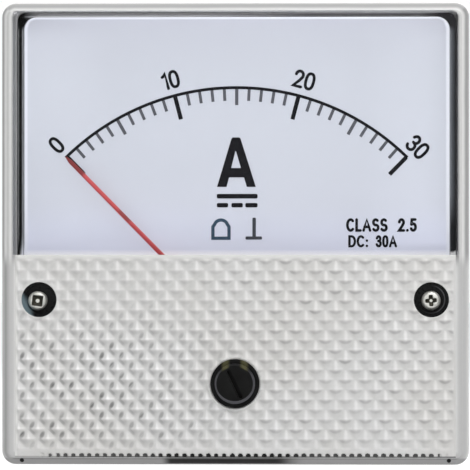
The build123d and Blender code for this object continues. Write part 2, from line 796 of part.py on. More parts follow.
with BuildPart() as ring_screws:
    with BuildSketch(about_pivot(frame_back + 0.9)):
        with Locations((0, ring_screw_r), (0, -ring_screw_r)):
            Circle(1.3)
    extrude(amount=0.9)
    with BuildSketch(about_pivot(frame_back)):
        with Locations((0, ring_screw_r), (0, -ring_screw_r)):
            Circle(0.8)
    extrude(amount=6.2)
ring_screws.part.label = "ring_screws"
export_step(ring_screws.part, "parts/ring_screws.step")

with BuildPart() as movement_frame:
    with BuildSketch(about_pivot(frame_back)):
        Circle(frame_r)
        SlotCenterToCenter(2 * ear_x, 2 * ear_r)
        Circle(frame_hole_r, mode=Mode.SUBTRACT)
        with Locations(*[(s * pillar_x, 0) for s, _ in both]):
            Circle(1.05, mode=Mode.SUBTRACT)
        with Locations(*[(s * ear_x, 0) for s, _ in both]):
            Circle(1.3, mode=Mode.SUBTRACT)
        with Locations((0, ring_screw_r), (0, -ring_screw_r)):
            Circle(0.82, mode=Mode.SUBTRACT)
    extrude(amount=frame_back - frame_front)
movement_frame.part.label = "movement_frame"
export_step(movement_frame.part, "parts/movement_frame.step")

with BuildPart() as movement_screws:
    with BuildSketch(about_pivot(frame_front)):
        with Locations(*[(s * ear_x, 0) for s, _ in both]):
            Circle(2.2)
    extrude(amount=1.6)
    fillet(edges().filter_by(GeomType.CIRCLE).group_by(Axis.Y)[0], 0.6)
    with BuildSketch(about_pivot(frame_front + 8)):
        with Locations(*[(s * ear_x, 0) for s, _ in both]):
            Circle(1.25)
    extrude(amount=8)
    with BuildSketch(about_pivot(frame_front - 0.8)):
        with Locations(*[(s * ear_x, 0) for s, _ in both]):
            Rectangle(2.4, 0.5)
            Rectangle(0.5, 2.4)
    extrude(amount=1.5, mode=Mode.SUBTRACT)
movement_screws.part.label = "movement_screws"
export_step(movement_screws.part, "parts/movement_screws.step")

# ================================================================ electrical pieces

shunt_front, shunt_back = 21.0, 22.5

with BuildPart() as shunt_bar:
    with BuildSketch(at_y(shunt_back)):
        with Locations((0, term_z)):
            RectangleRounded(40.0, 11.0, 1.0)
        with Locations(*[(s * term_x, term_z) for s, _ in both]):
            Circle(term_r + 0.1, mode=Mode.SUBTRACT)
        # trimming cuts across the middle
        with Locations((-2.5, term_z + 4.2), (2.5, term_z + 4.2), (0, term_z - 4.2)):
            Rectangle(0.8, 4.0, mode=Mode.SUBTRACT)
    extrude(amount=shunt_back - shunt_front)
shunt_bar.part.label = "shunt_bar"
export_step(shunt_bar.part, "parts/shunt_bar.step")

with BuildPart() as terminal_studs:
    with BuildSketch(at_y(shunt_front)):
        with Locations(*[(s * term_x, term_z) for s, _ in both]):
            RegularPolygon(hex_af / 2, 6, major_radius=False)
    extrude(amount=2.4)
    with BuildSketch(at_y(term_end)):
        with Locations(*[(s * term_x, term_z) for s, _ in both]):
            Circle(term_r)
    extrude(amount=term_end - shunt_front)
    chamfer(edges().filter_by(GeomType.CIRCLE).group_by(Axis.Y)[-1], 0.5)
    # a shallow groove parts the clamped length from the free end
    with BuildSketch(at_y(39.5)):
        with Locations(*[(s * term_x, term_z) for s, _ in both]):
            Circle(term_r + 0.5)
            Circle(term_r - 0.35, mode=Mode.SUBTRACT)
    extrude(amount=0.6, mode=Mode.SUBTRACT)
terminal_studs.part.label = "terminal_studs"
export_step(terminal_studs.part, "parts/terminal_studs.step")

case_washer_back = barrel_back + 1.2
case_nut_back = case_washer_back + 3.2
lug_washer_back = case_nut_back + 1.2
spring_washer_back = lug_washer_back + 1.6
lug_nut_back = spring_washer_back + 4.6

with BuildPart() as case_washers:
    with BuildSketch(at_y(case_washer_back)):
        with Locations(*[(s * term_x, term_z) for s, _ in both]):
            Circle(6.2)
            Circle(term_r + 0.15, mode=Mode.SUBTRACT)
    extrude(amount=1.2)
case_washers.part.label = "case_washers"
export_step(case_washers.part, "parts/case_washers.step")

with BuildPart() as case_nuts:
    with BuildSketch(at_y(case_nut_back)):
        with Locations(*[(s * term_x, term_z) for s, _ in both]):
            RegularPolygon(hex_af / 2, 6, major_radius=False, rotation=7)
            Circle(term_r + 0.02, mode=Mode.SUBTRACT)
    extrude(amount=3.2)
case_nuts.part.label = "case_nuts"
export_step(case_nuts.part, "parts/case_nuts.step")

with BuildPart() as lug_washers:
    with BuildSketch(at_y(lug_washer_back)):
        with Locations(*[(s * term_x, term_z) for s, _ in both]):
            Circle(6.0)
            Circle(term_r + 0.15, mode=Mode.SUBTRACT)
    extrude(amount=1.2)
lug_washers.part.label = "lug_washers"
export_step(lug_washers.part, "parts/lug_washers.step")

with BuildPart() as spring_washers:
    with BuildSketch(at_y(spring_washer_back)):
        with Locations(*[(s * term_x, term_z) for s, _ in both]):
            Circle(5.3)
            Circle(term_r + 0.15, mode=Mode.SUBTRACT)
        with Locations(*[(s * term_x, term_z + 4.3) for s, _ in both]):
            Rectangle(0.9, 3.4, rotation=20, mode=Mode.SUBTRACT)
    extrude(amount=1.6)
spring_washers.part.label = "spring_washers"
export_step(spring_washers.part, "parts/spring_washers.step")

with BuildPart() as lug_nuts:
    with BuildSketch(at_y(lug_nut_back)):
        with Locations(*[(s * term_x, term_z) for s, _ in both]):
            RegularPolygon(hex_af / 2, 6, major_radius=False, rotation=-18)
            Circle(term_r + 0.02, mode=Mode.SUBTRACT)
    extrude(amount=4.6)
    chamfer(edges().filter_by(GeomType.CIRCLE).group_by(Axis.Y)[-1], 0.3)
lug_nuts.part.label = "lug_nuts"
export_step(lug_nuts.part, "parts/lug_nuts.step")

resistor_y, resistor_z = 14.6, -1.0

with BuildPart() as swamping_resistor:
    with BuildSketch(Plane(origin=(-3.5, resistor_y, resistor_z), z_dir=(1, 0, 0))):
        Circle(1.7)
    extrude(amount=7.0)
    fillet(edges().filter_by(GeomType.CIRCLE), 0.5)
    with BuildSketch(Plane(origin=(-6.0, resistor_y, resistor_z), z_dir=(1, 0, 0))):
        Circle(0.3)
    extrude(amount=6.0)
    # the other lead goes back to the shunt
    with BuildLine():
        lead = FilletPolyline(
            (3.0, resistor_y, resistor_z), (8.0, resistor_y, resistor_z),
            (8.0, 20.95, 4.6), radius=1.6,
        )
    with BuildSketch(Plane(origin=lead @ 0, z_dir=lead % 0)):
        Circle(0.3)
    sweep()
swamping_resistor.part.label = "swamping_resistor"
export_step(swamping_resistor.part, "parts/swamping_resistor.step")

front_route = [
    (-6.1, resistor_y, resistor_z), (-13.5, 14.0, -2.6), (-17.9, 8.0, -9.4),
    (-17.9, -4.0, -10.2), (-17.6, -8.3, -14.6),
]
with BuildPart() as lead_wire_front:
    with BuildLine():
        path = FilletPolyline(*front_route, radius=2.2)
    with BuildSketch(Plane(origin=path @ 0, z_dir=path % 0)):
        Circle(0.45)
    sweep()
lead_wire_front.part.label = "lead_wire_front"
export_step(lead_wire_front.part, "parts/lead_wire_front.step")

rear_route = [
    (-9.0, 20.98, 4.4), (-9.0, 17.8, 4.4), (-9.0, 17.0, -3.0), (-4.2, 17.2, -8.2),
    (-0.5, 15.95, -11.8),
]
with BuildPart() as lead_wire_rear:
    with BuildLine():
        path = FilletPolyline(*rear_route, radius=1.4)
    with BuildSketch(Plane(origin=path @ 0, z_dir=path % 0)):
        Circle(0.45)
    sweep()
lead_wire_rear.part.label = "lead_wire_rear"
export_step(lead_wire_rear.part, "parts/lead_wire_rear.step")
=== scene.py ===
import json
from math import asin, atan2, cos, hypot, pi, radians, sin, sqrt, tan

import bpy
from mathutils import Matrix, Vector
from mathutils.geometry import tessellate_polygon


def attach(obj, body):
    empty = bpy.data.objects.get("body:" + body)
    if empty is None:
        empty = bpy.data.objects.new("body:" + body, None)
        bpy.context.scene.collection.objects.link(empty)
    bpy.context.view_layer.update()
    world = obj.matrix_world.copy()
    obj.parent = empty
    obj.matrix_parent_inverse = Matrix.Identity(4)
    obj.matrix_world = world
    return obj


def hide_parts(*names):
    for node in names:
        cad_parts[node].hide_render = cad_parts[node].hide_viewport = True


# Looks of an analog panel meter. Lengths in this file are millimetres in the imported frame
# unless a name says otherwise: +X right, +Z up, the front faces -Y.

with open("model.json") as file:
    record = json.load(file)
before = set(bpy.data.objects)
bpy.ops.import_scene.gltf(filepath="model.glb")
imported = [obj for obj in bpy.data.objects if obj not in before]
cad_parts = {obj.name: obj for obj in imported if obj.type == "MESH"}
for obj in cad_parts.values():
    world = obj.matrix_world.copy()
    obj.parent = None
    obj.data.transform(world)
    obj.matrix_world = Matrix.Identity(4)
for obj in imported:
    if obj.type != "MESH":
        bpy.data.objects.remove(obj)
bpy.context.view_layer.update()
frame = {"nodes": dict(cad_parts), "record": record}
nodes = frame["nodes"]
MM = 0.001

# ------------------------------------------------------------------ camera first
# The camera looks straight at the front from about 0.7 m, a little from the right.
EYE = Vector((21.4, -714.0, -0.2))
AIM = Vector((0.0, -14.0, -0.19))
cam_data = bpy.data.cameras.new("camera")
cam_data.sensor_width = 36.0
cam_data.lens = 313.65
cam_data.clip_start = 0.02
cam_data.clip_end = 20.0
cam = bpy.data.objects.new("camera", cam_data)
bpy.context.scene.collection.objects.link(cam)
cam.location = EYE * MM
cam.rotation_euler = (AIM - EYE).to_track_quat("-Z", "Y").to_euler()
bpy.context.scene.camera = cam
bpy.context.scene.view_settings.view_transform = "Standard"

LOOK = (AIM - EYE).normalized()
SIDE = LOOK.cross(Vector((0, 0, 1))).normalized()
RISE = SIDE.cross(LOOK)


def at_depth(px, py, y):
    """Where the line of sight through a place in the 470-pixel front view meets depth y."""
    ray = LOOK * cam_data.lens + SIDE * ((px - 235.0) / 470 * 36) + RISE * ((235.0 - py) / 470 * 36)
    k = (y - EYE.y) / ray.y
    return EYE.x + ray.x * k, EYE.z + ray.z * k


CELL = 3.400                       # the diagonal of one diamond of the lower front
LAT_X, LAT_Z = 35.876, -4.541      # the middle of one diamond


# ------------------------------------------------------------------ node helper


class Mat:
    """A procedural material, built node by node. Its coordinates are millimetres in the frame."""

    def __init__(self, name):
        self.m = bpy.data.materials.new(name)
        self.m.use_nodes = True
        self.t = self.m.node_tree
        self.t.nodes.clear()
        self.out = self.t.nodes.new("ShaderNodeOutputMaterial")
        tc = self.t.nodes.new("ShaderNodeTexCoord")
        mp = self.t.nodes.new("ShaderNodeMapping")
        mp.inputs["Scale"].default_value = (1000.0, 1000.0, 1000.0)
        self.t.links.new(tc.outputs["Object"], mp.inputs["Vector"])
        self.mm = mp.outputs["Vector"]
        self._xyz = None

    def put(self, socket, value):
        if isinstance(value, bpy.types.NodeSocket):
            self.t.links.new(value, socket)
        elif socket.type == "RGBA":
            socket.default_value = (*value[:3], 1.0)
        else:
            socket.default_value = value

    def xyz(self):
        if self._xyz is None:
            n = self.t.nodes.new("ShaderNodeSeparateXYZ")
            self.put(n.inputs[0], self.mm)
            self._xyz = n.outputs
        return self._xyz

    def math(self, op, a, b=0.0, c=0.0, clamp=False):
        n = self.t.nodes.new("ShaderNodeMath")
        n.operation = op
        n.use_clamp = clamp
        self.put(n.inputs[0], a)
        self.put(n.inputs[1], b)
        self.put(n.inputs[2], c)
        return n.outputs[0]

    def ramp(self, x, x0, x1, y0=0.0, y1=1.0, smooth=False):
        n = self.t.nodes.new("ShaderNodeMapRange")
        n.clamp = True
        if smooth:
            n.interpolation_type = "SMOOTHSTEP"
        for s, v in zip(("Value", "From Min", "From Max", "To Min", "To Max"), (x, x0, x1, y0, y1)):
            self.put(n.inputs[s], v)
        return n.outputs[0]

    def stretch(self, sx, sy, sz):
        n = self.t.nodes.new("ShaderNodeMapping")
        self.put(n.inputs["Vector"], self.mm)
        n.inputs["Scale"].default_value = (sx, sy, sz)
        return n.outputs[0]

    def noise(self, scale, detail=3.0, rough=0.5, vector=None):
        n = self.t.nodes.new("ShaderNodeTexNoise")
        self.put(n.inputs["Vector"], vector or self.mm)
        n.inputs["Scale"].default_value = scale
        n.inputs["Detail"].default_value = detail
        n.inputs["Roughness"].default_value = rough
        return n.outputs["Fac"]

    def mix(self, fac, a, b):
        n = self.t.nodes.new("ShaderNodeMix")
        n.data_type = "RGBA"
        self.put(n.inputs[0], fac)
        self.put(n.inputs[6], a)
        self.put(n.inputs[7], b)
        return n.outputs[2]

    def blend(self, x, stops):
        """A colour ramp over x in 0..1."""
        n = self.t.nodes.new("ShaderNodeValToRGB")
        e = n.color_ramp.elements
        while len(e) > 1:
            e.remove(e[-1])
        e[0].position, e[0].color = stops[0][0], (*stops[0][1], 1.0)
        for p, c in stops[1:]:
            new = e.new(p)
            new.color = (*c, 1.0)
        self.put(n.inputs[0], x)
        return n.outputs[0]

    def bump(self, height, strength, distance_mm):
        n = self.t.nodes.new("ShaderNodeBump")
        n.inputs["Strength"].default_value = strength
        n.inputs["Distance"].default_value = distance_mm * MM
        self.put(n.inputs["Height"], height)
        return n.outputs[0]

    def shader(self, **ins):
        n = self.t.nodes.new("ShaderNodeBsdfPrincipled")
        for k, v in ins.items():
            self.put(n.inputs[k.replace("_", " ")], v)
        return n.outputs[0]

    def finish(self, socket):
        self.t.links.new(socket, self.out.inputs["Surface"])
        return self.m


def scale_colour(c, k):
    return tuple(min(1.0, v * k) for v in c)


def stuff(name, colour, rough, metal=0.0, vary=0.12, spots=0.35, bump=0.15, depth=0.02, grain=4.0,
          stretch=None, specular=0.5, coat=0.0):
    """One plain stock material: patchy colour, patchy gloss and a fine grain."""
    m = Mat(name)
    broad = m.noise(spots, 4.0, 0.55)
    fine = m.noise(grain, 3.0, 0.6, m.stretch(*stretch) if stretch else None)
    col = m.mix(m.ramp(broad, 0.3, 0.7), scale_colour(colour, 1 - vary), scale_colour(colour, 1 + vary))
    col = m.mix(m.ramp(fine, 0.35, 0.75, 0.0, 0.35), col, scale_colour(colour, 1 - 1.6 * vary))
    r = m.ramp(fine, 0.3, 0.7, max(0.03, rough - 0.08), rough + 0.08)
    s = m.shader(Base_Color=col, Roughness=r, Metallic=metal, Specular_IOR_Level=specular,
                 Coat_Weight=coat, Coat_Roughness=0.08, Normal=m.bump(fine, bump, depth))
    return m.finish(s)


# ------------------------------------------------------------------ mesh helper


class Build:
    """Vertices and faces in millimetres, with a material slot and shading for each face."""

    def __init__(self):
        self.v, self.f, self.m, self.s = [], [], [], []

    def vert(self, x, y, z):
        self.v.append((x, y, z))
        return len(self.v) - 1

    def face(self, ids, mat=0, smooth=False):
        self.f.append(tuple(ids))
        self.m.append(mat)
        self.s.append(smooth)

    def ring(self, points, y):
        return [self.vert(x, y, z) for x, z in points]

    def band(self, a, b, mat=0, smooth=False, skip=(), pick=None):
        n = len(a)
        for i in range(n):
            if i in skip:
                continue
            j = (i + 1) % n
            slot = pick(i) if pick else mat
            self.face((a[i], a[j], b[j], b[i]), slot, smooth)

    def fill(self, loops, y, mat=0, smooth=False):
        """A flat face with holes, at depth y. Makes its own vertices, and returns their rings."""
        rings = [self.ring(l, y) for l in loops]
        flat = [i for r in rings for i in r]
        for t in tessellate_polygon([[Vector((x, z, 0)) for x, z in l] for l in loops]):
            self.face([flat[k] for k in t], mat, smooth)
        return rings

    def prism(self, loops, y0, y1, mat=0):
        """A closed flat solid with holes, between depths y0 and y1."""
        a = self.fill(loops, y0, mat)
        b = self.fill(loops, y1, mat)
        for p, q in zip(a, b):
            self.band(p, q, mat)

    def make(self, name, mats, body, stands_for=(), merge=1e-4):
        import bmesh

        me = bpy.data.meshes.new(name)
        me.from_pydata([(x * MM, y * MM, z * MM) for x, y, z in self.v], [], self.f)
        for m in mats:
            me.materials.append(m)
        me.polygons.foreach_set("material_index", self.m)
        me.polygons.foreach_set("use_smooth", self.s)
        bm = bmesh.new()
        bm.from_mesh(me)
        bmesh.ops.remove_doubles(bm, verts=bm.verts, dist=merge * MM)
        bmesh.ops.dissolve_degenerate(bm, edges=bm.edges, dist=1e-6 * MM)
        bmesh.ops.recalc_face_normals(bm, faces=bm.faces)
        bm.to_mesh(me)
        bm.free()
        o = bpy.data.objects.new(name, me)
        bpy.context.scene.collection.objects.link(o)
        if stands_for:
            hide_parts(*stands_for)
        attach(o, body)
        return o


def rounded(x0, x1, z0, z1, r, n=8, cut=None):
    """A rounded rectangle, anticlockwise seen from the front, with extra points where it crosses z = cut."""
    pts = []
    for cx, cz, a0 in ((x1 - r, z1 - r, 0), (x0 + r, z1 - r, 90), (x0 + r, z0 + r, 180), (x1 - r, z0 + r, 270)):
        for i in range(n + 1):
            a = radians(a0 + 90 * i / n)
            pts.append((cx + r * cos(a), cz + r * sin(a)))
    if cut is not None:
        out = []
        for i, p in enumerate(pts):
            q = pts[(i + 1) % len(pts)]
            out.append(p)
            if (p[1] - cut) * (q[1] - cut) < 0:
                t = (cut - p[1]) / (q[1] - p[1])
                out.append((p[0] + t * (q[0] - p[0]), cut))
        pts = out
    return pts


def circle(cx, cz, r, n=64, start=0.0):
    return [(cx + r * cos(start + 2 * pi * i / n), cz + r * sin(start + 2 * pi * i / n)) for i in range(n)]


# ------------------------------------------------------------------ materials


def edge_distance(m, hx, z0, z1, r):
    """Millimetres inwards from a rounded rectangle's outline, in the X-Z plane."""
    x, _, z = m.xyz()
    zc, hz = (z0 + z1) / 2, (z1 - z0) / 2
    qx = m.math("SUBTRACT", m.math("ABSOLUTE", x), hx - r)
    qz = m.math("SUBTRACT", m.math("ABSOLUTE", m.math("SUBTRACT", z, zc)), hz - r)
    ax, az = m.math("MAXIMUM", qx, 0.0), m.math("MAXIMUM", qz, 0.0)
    corner = m.math("SQRT", m.math("ADD", m.math("MULTIPLY", ax, ax), m.math("MULTIPLY", az, az)))
    inner = m.math("MINIMUM", m.math("MAXIMUM", qx, qz), 0.0)
    return m.math("SUBTRACT", r, m.math("ADD", corner, inner))


def clear(name, tint=(0.985, 0.985, 0.99), milk=0.003, milk_colour=(0.8, 0.82, 0.86), rough=0.03, gloss=0.55):
    """Clear moulded plastic: mostly see-through, with gloss and a little haze."""
    m = Mat(name)
    haze = m.noise(0.25, 4.0, 0.6)
    tr = m.t.nodes.new("ShaderNodeBsdfTransparent")
    m.put(tr.inputs[0], tint)
    gl = m.t.nodes.new("ShaderNodeBsdfGlossy")
    m.put(gl.inputs["Color"], (1, 1, 1))
    m.put(gl.inputs["Roughness"], m.ramp(haze, 0.3, 0.7, rough, rough + 0.04))
    df = m.t.nodes.new("ShaderNodeBsdfDiffuse")
    m.put(df.inputs["Color"], milk_colour)
    fr = m.t.nodes.new("ShaderNodeFresnel")
    fr.inputs["IOR"].default_value = 1.46
    a = m.t.nodes.new("ShaderNodeMixShader")
    m.put(a.inputs[0], m.ramp(haze, 0.3, 0.7, milk * 0.7, milk * 1.3))
    m.put(a.inputs[1], tr.outputs[0])
    m.put(a.inputs[2], df.outputs[0])
    b = m.t.nodes.new("ShaderNodeMixShader")
    m.put(b.inputs[0], m.math("MULTIPLY", fr.outputs[0], gloss))
    m.put(b.inputs[1], a.outputs[0])
    m.put(b.inputs[2], gl.outputs[0])
    return m.finish(b.outputs[0])


def rim_material():
    """The moulding's front edge: clear plastic seen along its wall, so milky grey, with painted light and shade: a
    lighter inner band, greys that differ from side to side and a darker bottom bevel.
    """
    m = Mat("cover_rim")
    u = edge_distance(m, 40.0, -39.5, 39.5, 2.4)
    x, y, z = m.xyz()
    wobble = m.math("MULTIPLY_ADD", m.noise(0.12, 2.0, 0.5), 0.20, -0.10)
    uu = m.math("ADD", u, wobble)
    def grey(stops):
        return m.blend(m.ramp(uu, 0.0, 2.4), [(a / 2.4, (v, v, v * 0.995)) for a, v in stops])

    # painted light and shade: each side gets its own greys across the bevel and the flat, lighter at the top than at
    # the bottom
    up_left = grey([(0.1, 0.27), (0.23, 0.275), (0.36, 0.315), (0.49, 0.42), (0.62, 0.52), (0.75, 0.507), (0.88, 0.477),
                    (1.01, 0.418), (1.14, 0.414), (1.27, 0.43), (1.40, 0.47), (1.53, 0.50), (1.66, 0.444), (1.79, 0.347), (1.9, 0.25)])
    up_right = grey([(0.1, 0.298), (0.23, 0.274), (0.36, 0.228), (0.49, 0.226), (0.62, 0.266), (0.75, 0.352), (0.88, 0.438),
                     (1.01, 0.485), (1.14, 0.486), (1.27, 0.448), (1.40, 0.414), (1.53, 0.42), (1.66, 0.38), (1.79, 0.27), (1.9, 0.15)])
    top = grey([(0.1, 0.40), (0.23, 0.337), (0.36, 0.312), (0.49, 0.31), (0.62, 0.323), (0.75, 0.379), (0.88, 0.471),
                (1.01, 0.532), (1.14, 0.561), (1.27, 0.489)])
    low_left = grey([(0.1, 0.40), (0.23, 0.39), (0.36, 0.341), (0.49, 0.285), (0.62, 0.256), (0.75, 0.277), (0.88, 0.306),
                     (1.01, 0.335), (1.14, 0.357), (1.27, 0.353), (1.53, 0.379), (1.79, 0.395), (1.92, 0.406), (2.05, 0.43), (2.18, 0.50), (2.31, 0.55)])
    low_right = grey([(0.1, 0.453), (0.23, 0.437), (0.36, 0.39), (0.49, 0.358), (0.75, 0.347), (1.27, 0.347), (1.53, 0.35),
                      (1.79, 0.378), (1.92, 0.403), (2.05, 0.433), (2.18, 0.462), (2.31, 0.487)])
    is_right = m.math("GREATER_THAN", x, 0.0)
    is_top = m.ramp(m.math("SUBTRACT", m.math("SUBTRACT", 40.0, m.math("ABSOLUTE", x)), m.math("SUBTRACT", 39.5, z)),
                    -0.25, 0.25)
    upper = m.mix(is_top, m.mix(is_right, up_left, up_right), top)
    lower = m.mix(is_right, low_left, low_right)
    bottom = m.ramp(z, -38.2, -38.6, smooth=True)
    side = m.mix(m.ramp(z, -3.0, -6.0, smooth=True), upper, lower)
    # painted shade on the bottom bevel: mid grey, darker further in, near-black in its middle, with a near-black belt
    # across the middle
    wave = m.math("MULTIPLY_ADD", m.noise(0.09, 2.0, 0.5), 3.0, -1.5)
    xx = m.math("ADD", x, wave)
    dark = m.math("MULTIPLY", m.ramp(xx, -12.8, -10.6, smooth=True), m.ramp(xx, 12.0, 7.0, smooth=True))
    lip = m.ramp(u, 0.85, 1.05, smooth=True)
    light = m.mix(lip, (0.235, 0.235, 0.235), (0.11, 0.11, 0.11))
    under = m.mix(m.math("MULTIPLY", dark, m.ramp(u, 0.05, 0.3)), light, (0.004, 0.004, 0.004))
    speck = m.noise(1.6, 3.0, 0.6)
    col = m.mix(bottom, side, under)
    belt_shade = m.math("MULTIPLY", m.ramp(z, -38.0, -38.15), m.ramp(z, -38.7, -38.5))
    col = m.mix(m.math("MULTIPLY", belt_shade, m.math("MULTIPLY", dark, 0.55)), col, (0.012, 0.012, 0.012))
    col = m.mix(m.math("MULTIPLY", m.ramp(speck, 0.4, 0.8, 0.0, 0.08), m.ramp(z, -38.6, -38.2)), col, (0.30, 0.30, 0.30))
    s = m.shader(Base_Color=col, Roughness=m.ramp(speck, 0.3, 0.7, 0.30, 0.40), Specular_IOR_Level=0.22,
                 Normal=m.bump(speck, 0.06, 0.01))
    return m.finish(s)


def skirt_material():
    """The moulding's sides: milky where it is seen flat, and a little see-through."""
    m = Mat("cover_side")
    x, y, z = m.xyz()
    haze = m.noise(0.18, 3.0, 0.55)
    lines = m.noise(1.1, 2.0, 0.5, m.stretch(1.0, 0.08, 1.0))
    col = m.mix(m.ramp(haze, 0.3, 0.7), (0.60, 0.61, 0.63), (0.72, 0.73, 0.74))
    a = m.ramp(z, -1.0, -6.0, 0.40, 0.86, smooth=True)
    alpha = m.math("ADD", a, m.ramp(lines, 0.3, 0.7, -0.008, 0.008), clamp=True)
    s = m.shader(Base_Color=col, Roughness=m.ramp(lines, 0.3, 0.7, 0.20, 0.28), Alpha=alpha, Specular_IOR_Level=0.45,
                 Normal=m.bump(haze, 0.03, 0.02))
    return m.finish(s)


def wall_material():
    """The inner face of the side wall, seen through the window. Its greys are painted light and shade: dark near the
    front, light further back and along the top, near-black down the right side and lighter again below that.
    """
    m = Mat("cover_inner_wall")
    x, y, z = m.xyz()
    # painted light and shade by depth: dark near the front, light further back, lighter along the top
    depth = m.ramp(y, -14.0, 0.0)
    streak = m.noise(0.5, 2.0, 0.5, m.stretch(1.0, 1.0, 0.15))
    col = m.blend(depth, [(0.0, (0.24, 0.24, 0.24)), (0.12, (0.17, 0.17, 0.17)), (0.17, (0.13, 0.13, 0.13)),
                          (0.36, (0.20, 0.20, 0.20)), (0.46, (0.27, 0.27, 0.27)), (0.56, (0.85, 0.85, 0.85)),
                          (1.0, (0.90, 0.90, 0.90))])
    col = m.mix(m.ramp(streak, 0.35, 0.7, 0.0, 0.25), col, (0.12, 0.12, 0.12))
    col = m.mix(m.ramp(z, 37.2, 38.0), col, m.mix(depth, (0.46, 0.46, 0.46), (0.56, 0.56, 0.56)))
    # painted shade: near-black down the right side, lighter again below the window
    right = m.math("MULTIPLY", m.ramp(x, 30.0, 37.0), m.ramp(z, 38.2, 37.6))
    col = m.mix(right, col, (0.018, 0.019, 0.020))
    col = m.mix(m.math("MULTIPLY", right, m.ramp(z, -2.8, -3.1)), col, (0.42, 0.42, 0.42))
    s = m.shader(Base_Color=col, Roughness=m.ramp(streak, 0.3, 0.7, 0.3, 0.4), Alpha=m.ramp(streak, 0.3, 0.7, 0.93, 1.0),
                 Specular_IOR_Level=0.2)
    return m.finish(s)


